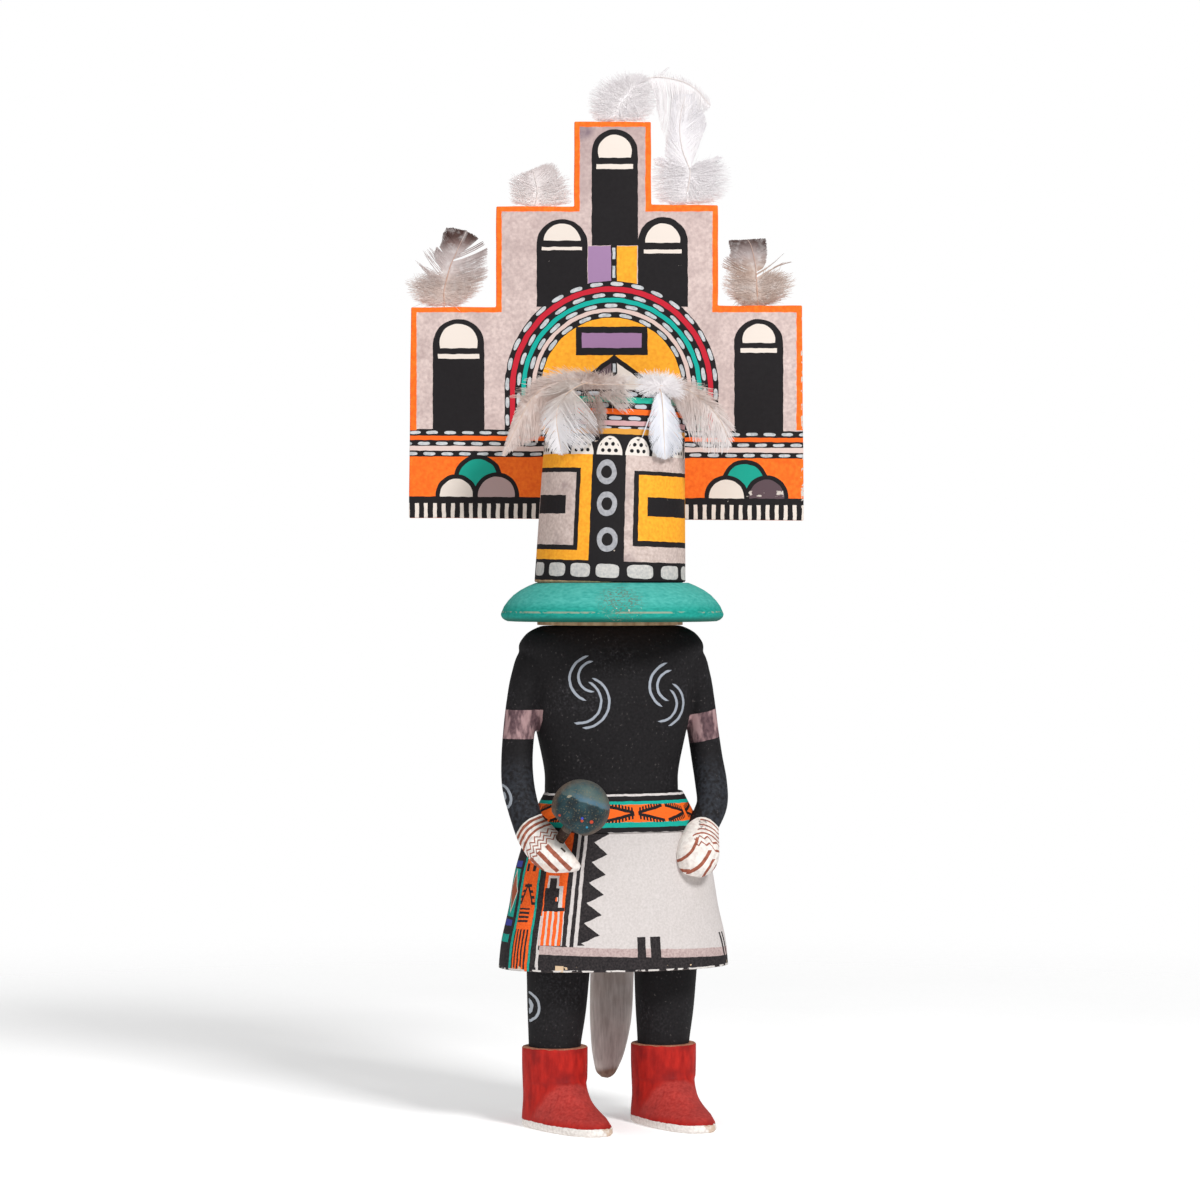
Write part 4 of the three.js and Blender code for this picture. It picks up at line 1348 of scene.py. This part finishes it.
# For each feather its shades, its shaft from inside its hole to its tip, and its fans of barbs
board_feathers = {
    "step_3_left": (
        [(331, (206, 188, 180)), (339, (190, 174, 167)), (347, (184, 172, 170)), (353, vane_grey),
            (356, (116, 96, 92)), (358.5, tip_brown)],
        [(-67.4, 324), (-67.6, 331), (-67.8, 336), (-66.8, 341), (-65.1, 347), (-63.4, 350.6),
            (-61.7, 354.7), (-60, 358.1), (-58.6, 361)],
        (0.55, 1, [(-69.6, 354.5), (-68.7, 356.8), (-68.3, 359.8), (-66.8, 362.3),
            (-64.2, 362.4), (-60.8, 361.5), (-58.6, 361.2)], 260, CLOSE),
        (0.62, 1, [(-53.7, 357.9), (-55.2, 359.4), (-57.8, 360.5), (-58.6, 361)], 120, CLOSE),
        (0.58, 0.66, [(-50.8, 355.4), (-51.8, 357)], 9, CLOSE),
        (0.48, 0.55, [(-50.1, 351.6), (-50.1, 354.2)], 50, CLOSE),
        (0.3, 0.5, [(-50.1, 341.5), (-50.1, 346), (-50.1, 352.6)], 190, LOOSE),
        (0.4, 0.58, [(-72, 351), (-71.6, 352.8), (-70.9, 354.7)], 70, CLOSE),
        (0.36, 0.5, [(-76.6, 352.6), (-74, 354.8)], 20, LOOSE),
        (0.3, 0.42, [(-80, 349.5), (-77, 346.5)], 26, LOOSE),
        (0.12, 0.35, [(-76, 331.6), (-81, 333.4), (-83, 337.5), (-83.2, 341), (-79, 343.4),
            (-74, 344.4)], 900, FLUFF),
        (0.12, 0.35, [(-60, 331.8), (-55.6, 334.3), (-52.4, 337.2), (-51.4, 341),
            (-52, 345)], 760, FLUFF),
    ),
    "step_2_left": (
        [(371, (220, 213, 211)), (380, (211, 203, 202)), (388, (198, 188, 187))],
        [(-31, 364.8), (-30.6, 371.6), (-29.8, 377.4), (-30.8, 382.3), (-31.6, 385.9)],
        (0.25, 1, [(-40.4, 372.6), (-41, 377), (-41.1, 382), (-37.2, 384.2), (-34.1, 385.2),
            (-31.6, 386)], 330, LOOSE),
        (0.25, 1, [(-17, 372.4), (-16.8, 377), (-19.2, 383.4), (-21.5, 386.5), (-22.6, 388.3),
            (-25.2, 388.7), (-28.3, 387.7), (-31.6, 386)], 430, LOOSE),
        (0.2, 0.6, [(-41, 372.6), (-42, 380), (-41, 383)], 300, FLUFF),
        (0.2, 0.6, [(-16, 372.6), (-15.6, 378), (-17.5, 383.5)], 340, FLUFF),
    ),
    "top": (
        [(400, white_down), (428, white_down)],
        [(1.6, 399.1), (1.6, 406), (4, 413), (8.5, 419), (14, 422.6), (20.3, 423.4), (28.9, 421.7),
            (34.9, 418.3), (39.2, 413.2), (40.5, 411.8)],
        (0.11, 0.4, [(-6.3, 405.6), (-9, 409.7), (-9.7, 415), (-7.2, 420), (-2, 424),
            (4.9, 425.6), (11.8, 425.4), (16.6, 423)], 2000, FLUFF),
        (0.11, 0.36, [(15.6, 406.6), (18.6, 411.6), (19.4, 416), (18, 421)], 1100, FLUFF),
        (0.11, 0.3, [(-6, 406.2), (15, 406.2)], 500, FLUFF),
        (0.5, 1, [(18, 425.6), (24, 425.4), (29.5, 423.6), (35.4, 420.2), (39.6, 416),
            (40.6, 413)], 110, LOOSE),
        (0.52, 0.56, [(23, 427.4), (24, 427.6)], 5, {}),
        (0.45, 0.75, [(19, 409.4), (20.6, 401.5), (22.5, 396.5),
            (24, 400)], 90, {"bend": -0.15, "loose": 0.2}),
        (0.6, 1, [(25, 404), (31, 404.6), (34.9, 407.9), (38, 409.4),
            (40.2, 411)], 150, {"loose": 0.4, "bend": -0.1}),
    ),
    "step_2_right": (
        [(372, white_down), (416, (213, 210, 213))],
        [(30.4, 365.4), (30.4, 372.5), (32.2, 383.6), (31.7, 387.1), (29.1, 393.8), (28, 401.7),
            (28.6, 409.3), (30.4, 415.9)],
        (0.35, 1, [(21.6, 391.7), (22.4, 398.6), (23.7, 407), (24.6, 413.6), (26, 416.5),
            (28, 417), (30.4, 416.4)], 380, CLOSE),
        (0.35, 1, [(32.9, 388.6), (36.4, 397.6), (39, 404.2), (38.4, 407.7), (36.6, 411.5),
            (33.5, 416.8), (30.4, 416.4)], 380, CLOSE),
        (0.14, 0.4, [(19, 373.2), (16.8, 377), (16.2, 383), (17, 389.4), (22, 390.4)], 1000, FLUFF),
        (0.14, 0.4, [(42, 373.2), (48, 376), (49.4, 381), (48.4, 387), (45, 391),
            (36, 388.6)], 1100, FLUFF),
        (0.12, 0.3, [(20, 372.8), (42, 372.8)], 300, FLUFF),
        (0.3, 0.4, [(43.4, 391.8), (45.6, 390.8)], 30, CLOSE),
        (0.3, 0.4, [(17, 390.2), (20, 391.4)], 30, CLOSE),
    ),
    "step_3_right": (
        [(331, soft_brown), (338, beige), (345, soft_brown), (351, vane_grey), (356, (92, 76, 73))],
        [(59.8, 324.6), (59.8, 331), (59.4, 337.5), (59.1, 342.2), (58.8, 346.9), (57.9, 351.4),
            (56.9, 355.2), (55.6, 357.4)],
        (0.5, 1, [(48, 350.7), (48.6, 353), (47.9, 355.7), (47.9, 357.1), (49.4, 357.4),
            (52.7, 357.3), (55.6, 357.5)], 260, CLOSE),
        (0.4, 0.55, [(44.8, 346.3), (45.6, 349.6), (47.4, 350.9)], 90, LOOSE),
        (0.5, 1, [(61.8, 346), (63.1, 348.4), (63.6, 351.7), (63.4, 355.5), (62.9, 358),
            (59.8, 357.9), (55.6, 357.5)], 240, CLOSE),
        (0.12, 0.38, [(52, 332), (46, 335), (45, 338.6), (45.4, 342), (47, 347)], 760, FLUFF),
        (0.12, 0.35, [(66, 333), (73, 335.5), (75.6, 339.5), (74, 343.8), (66, 345.5)], 900, FLUFF),
        (0.36, 0.42, [(70, 348.4), (74, 348.6)], 12, {"loose": 0.1, "bend": -0.12}),
        (0.45, 0.47, [(70.2, 351.9), (70.4, 352)], 4, {"loose": 0.0}),
    ),
}
quills = []
for name, (shades, shaft, *fans) in board_feathers.items():
    quills.append(add_feather(name, shades, in_board(shaft), fans, in_board, 0.4))
    if name == "top":
        # its foot is deep in the down
        quills[-1] = quills[-1][16:]
quill_shades = [(290, (196, 172, 154)), (345, (184, 146, 128)), (372, (204, 194, 190))]
quill_paint = feather_finish("quills", quill_shades)
nodes = ["feather_" + name for name in board_feathers]
add_piece("board_quills", strands("board_quills", quills, 0.55), quill_paint, nodes)

# The head's feathers
# A cluster of grey, brown and white body feathers pegged into the top of the mask. They lie over
# its front rim and droop.


def draped(points):
    """A line of a feather that lies over the mask's rim and hangs in front of it."""
    line = []
    for x, z in points:
        around = math.sqrt(max(0, 1 - ((x - 2) / 29) ** 2))
        hanging = min(-13, MASK_Y - 29 * around) - 2
        over = min(1, max(0, (z - 294) / 7))
        line.append(Vector((x, hanging * (1 - over) - 6 * over, z)))
    return line


# For each feather its shades, where its quill stands, its shaft and its fans. The down's shades
# change from left to right
head_feathers = {
    "head_left": (
        [(268, (200, 186, 181)), (280, (194, 177, 170)), (292, (184, 165, 157)),
            (302, (198, 184, 178))],
        (-5, -8),
        [(-14, 299), (-24, 297.5), (-31.5, 291), (-36, 283), (-39.8, 275), (-42.8, 268.4)],
        (0.35, 1, [(-36, 292), (-38.8, 284), (-41.2, 276),
            (-43.4, 268.4)], 300, {"loose": 0.15, "thick": 1.1}),
        (0.35, 1, [(-27.5, 283), (-28.4, 275), (-33, 273), (-38, 271), (-42.4, 268.4)], 520, LOOSE),
        (0.15, 0.5, [(-14, 302), (-20, 301.4), (-27, 300), (-33, 297), (-36, 292)], 1100, FLUFF),
        (0.1, 0.6, [(-8, 303), (-18, 304.5), (-27, 303.4), (-35, 299), (-41, 291)], 150, TUFTS),
        (0.2, 0.7, [(-16, 286), (-24, 282), (-30, 276), (-35, 271)], 150, TUFTS),
        (0.15, 0.5, [(-14, 292), (-20, 289), (-26, 285), (-30, 280)], 900, FLUFF),
        (0.35, 0.55, [(-33, 282), (-30.5, 276), (-29.4, 273)], 160, LOOSE),
    ),
    "head_front_left": (
        [(268, (222, 220, 222)), (280, (213, 209, 210)), (291, (190, 179, 173)),
            (300, (176, 162, 154))],
        (-2.8, -15),
        [(-9, 297.4), (-16, 294), (-20.6, 289), (-21.6, 282), (-20.6, 275), (-19.6, 269.4)],
        (0.4, 1, [(-28, 288), (-28.6, 281), (-26.6, 275), (-24.3, 269.8),
            (-19.6, 268.8)], 230, {"loose": 0.3}),
        (0.4, 1, [(-13, 284), (-12.6, 278), (-13.6, 272.6), (-16, 269.8),
            (-19.6, 268.8)], 110, {"loose": 0.3, "thick": 1.2}),
        (0.42, 0.85, [(-5.4, 282), (-4.8, 277.4), (-6.4, 274), (-9, 271.6),
            (-13, 270)], 60, {"thick": 1.5}),
        (0.3, 0.5, [(-30, 291), (-26, 296), (-18, 299.6), (-10, 300)], 500, FLUFF),
    ),
    "head_down": (
        [(-18, (188, 171, 163)), (-6, (162, 141, 132)), (5, (196, 184, 178)), (10, white_down),
            (31, white_down)],
        (4, 4),
        [(2, 299), (-12, 297.5), (-6, 296.5), (2, 296.4), (12, 296.6), (19, 296.2), (22, 296)],
        (0.2, 0.65, [(-20, 301), (-10, 302), (0, 301.6), (9, 300.4)], 1000, FLUFF),
        (0.2, 0.65, [(-20, 291), (-8, 287), (2, 289), (9, 291)], 900, FLUFF),
        (0.3, 0.46, [(-12, 284), (-9, 277), (-5, 275), (-2, 279),
            (-1.4, 286)], 560, {"loose": 0.35, "puff": 1.6}),
        (0.45, 0.62, [(1.6, 288), (5, 284.6), (8.4, 285), (9.4, 290)], 400, FLUFF),
        (0.85, 1, [(8, 297), (10, 301), (16, 302.6), (24, 302), (29, 299), (31, 295)], 1200, FLUFF),
        (0.85, 1, [(8, 294.8), (12, 292), (28, 290.4), (31, 293)], 700, FLUFF),
    ),
    "head_front_right": (
        [(267, (210, 211, 217)), (294, (216, 216, 221))],
        (18, -9.6),
        [(19.7, 293.6), (20.4, 287), (20.8, 278), (21.4, 267.2)],
        (0.4, 1, [(16.8, 291), (15.2, 284), (14.6, 276), (15.8, 270.6), (18, 267.6),
            (21.4, 266.8)], 220, {"loose": 0.14}),
        (0.4, 1, [(23.6, 290), (26.6, 283), (28.4, 276), (28.4, 270.4), (25, 268),
            (21.4, 266.8)], 220, {"loose": 0.14}),
        (0.42, 0.44, [(11.9, 275.3), (12.2, 275.1)], 7, {}),
    ),
    "head_right": (
        [(268, (218, 213, 213)), (280, (208, 198, 195)), (292, (194, 178, 171))],
        (21, -4.2),
        [(24, 297.4), (32, 293.6), (38.5, 288.6), (43.5, 282), (46.6, 274.4)],
        (0.25, 0.65, [(25, 300), (32, 296.4), (39, 292), (44, 287)], 800, FLUFF),
        (0.25, 0.6, [(26, 288), (30, 282), (36, 278)], 500, FLUFF),
        (0.3, 1, [(30, 281), (32, 274), (36, 270.6), (41, 268.8),
            (46, 269.6)], 260, {"loose": 0.45}),
        (0.35, 1, [(41, 291), (46.4, 284.5), (49.2, 279), (48.6, 273.6),
            (46.6, 270.4)], 190, {"loose": 0.35}),
        (0.1, 0.6, [(24, 301), (33, 300), (42, 294), (47, 286)], 110, TUFTS),
    ),
}
quills = []
for name, (shades, (foot_x, foot_y), hanging, *fans) in head_feathers.items():
    peg = [Vector((foot_x, foot_y, mask_top + rise)) for rise in (-6, 1)]
    axis = 0 if name == "head_down" else 2
    quills.append(add_feather(name, shades, peg + draped(hanging), fans, draped, 0.3, axis))
nodes = ["feather_" + name for name in head_feathers]
add_piece("head_quills", strands("head_quills", quills, 0.5), quill_paint, nodes)

# The studio
# A plain pale floor and soft light all round, and the camera at the doll's mid height, well back.

floor_glow = 0.3
floor = bmesh.new()
bmesh.ops.create_grid(floor, x_segments=1, y_segments=1, size=1.2)
floor_mesh = bpy.data.meshes.new("floor")
floor.to_mesh(floor_mesh)
floor.free()
floor_object = bpy.data.objects.new("floor", floor_mesh)
bpy.context.scene.collection.objects.link(floor_object)


def floor_pattern(at):
    # it fades out around the doll, into the white of the wall
    faint = at.speckle(60, 3)
    pale = faint.ramp(0.2, 0.8, first=(0.86, 0.86, 0.86, 1), last=(0.9, 0.9, 0.9, 1))
    return pale, 0.8 + faint * 0.1, faint * 0.01, at.vector("LENGTH", out=1).soft(900, 300)


floor_paint = finish("pale floor", drawing, floor_pattern)
floor_shader = floor_paint.node_tree.nodes["Principled BSDF"]
floor_shader.inputs["Emission Color"].default_value = (1, 1, 1, 1)
floor_shader.inputs["Emission Strength"].default_value = floor_glow
floor_mesh.materials.append(floor_paint)

world = bpy.data.worlds.new("studio")
world.use_nodes = True
world.node_tree.nodes.clear()
air = Coat(world.node_tree)
# the wall behind is white, and gives less light than it shows
wall_light = 0.26
glowing = wall_light + air.node("ShaderNodeLightPath") * (1 - wall_light)
wall = air.node("ShaderNodeBackground", {}, {"Color": (1, 1, 1, 1), "Strength": glowing})
air.node("ShaderNodeOutputWorld", {}, {"Surface": wall})
bpy.context.scene.world = world
bpy.context.scene.view_settings.view_transform = "Standard"

# how far to the right, forward and up from the doll's middle, how wide, and how strong
for name, place, size, power in (
    ("key", (0.85, -1.35, 1.4), 0.45, 34),
    ("fill", (-1.3, -1.2, 0.6), 1.2, 9),
    ("top", (0.1, 0.3, 1.9), 1.2, 6),
):
    lamp = bpy.data.lights.new(name, "AREA")
    lamp.size = size
    lamp.energy = power
    light = bpy.data.objects.new(name, lamp)
    light.location = place
    light.rotation_euler = (Vector((0, 0, 0.22)) - Vector(place)).to_track_quat("-Z", "Y").to_euler()
    bpy.context.scene.collection.objects.link(light)

camera_data = bpy.data.cameras.new("camera")
camera_data.lens, camera_data.sensor_width = 120, 36
camera = bpy.data.objects.new("camera", camera_data)
camera.location = drawing @ Vector((-4.4, -1600, 219.2))
# the horizon lies 20 pixels above the middle of a 1200 pixel frame, and the lens spans 4000 of them
camera.rotation_euler = (math.radians(90) - math.atan(20 / 4000), 0, 0)
bpy.context.scene.collection.objects.link(camera)
bpy.context.scene.camera = camera
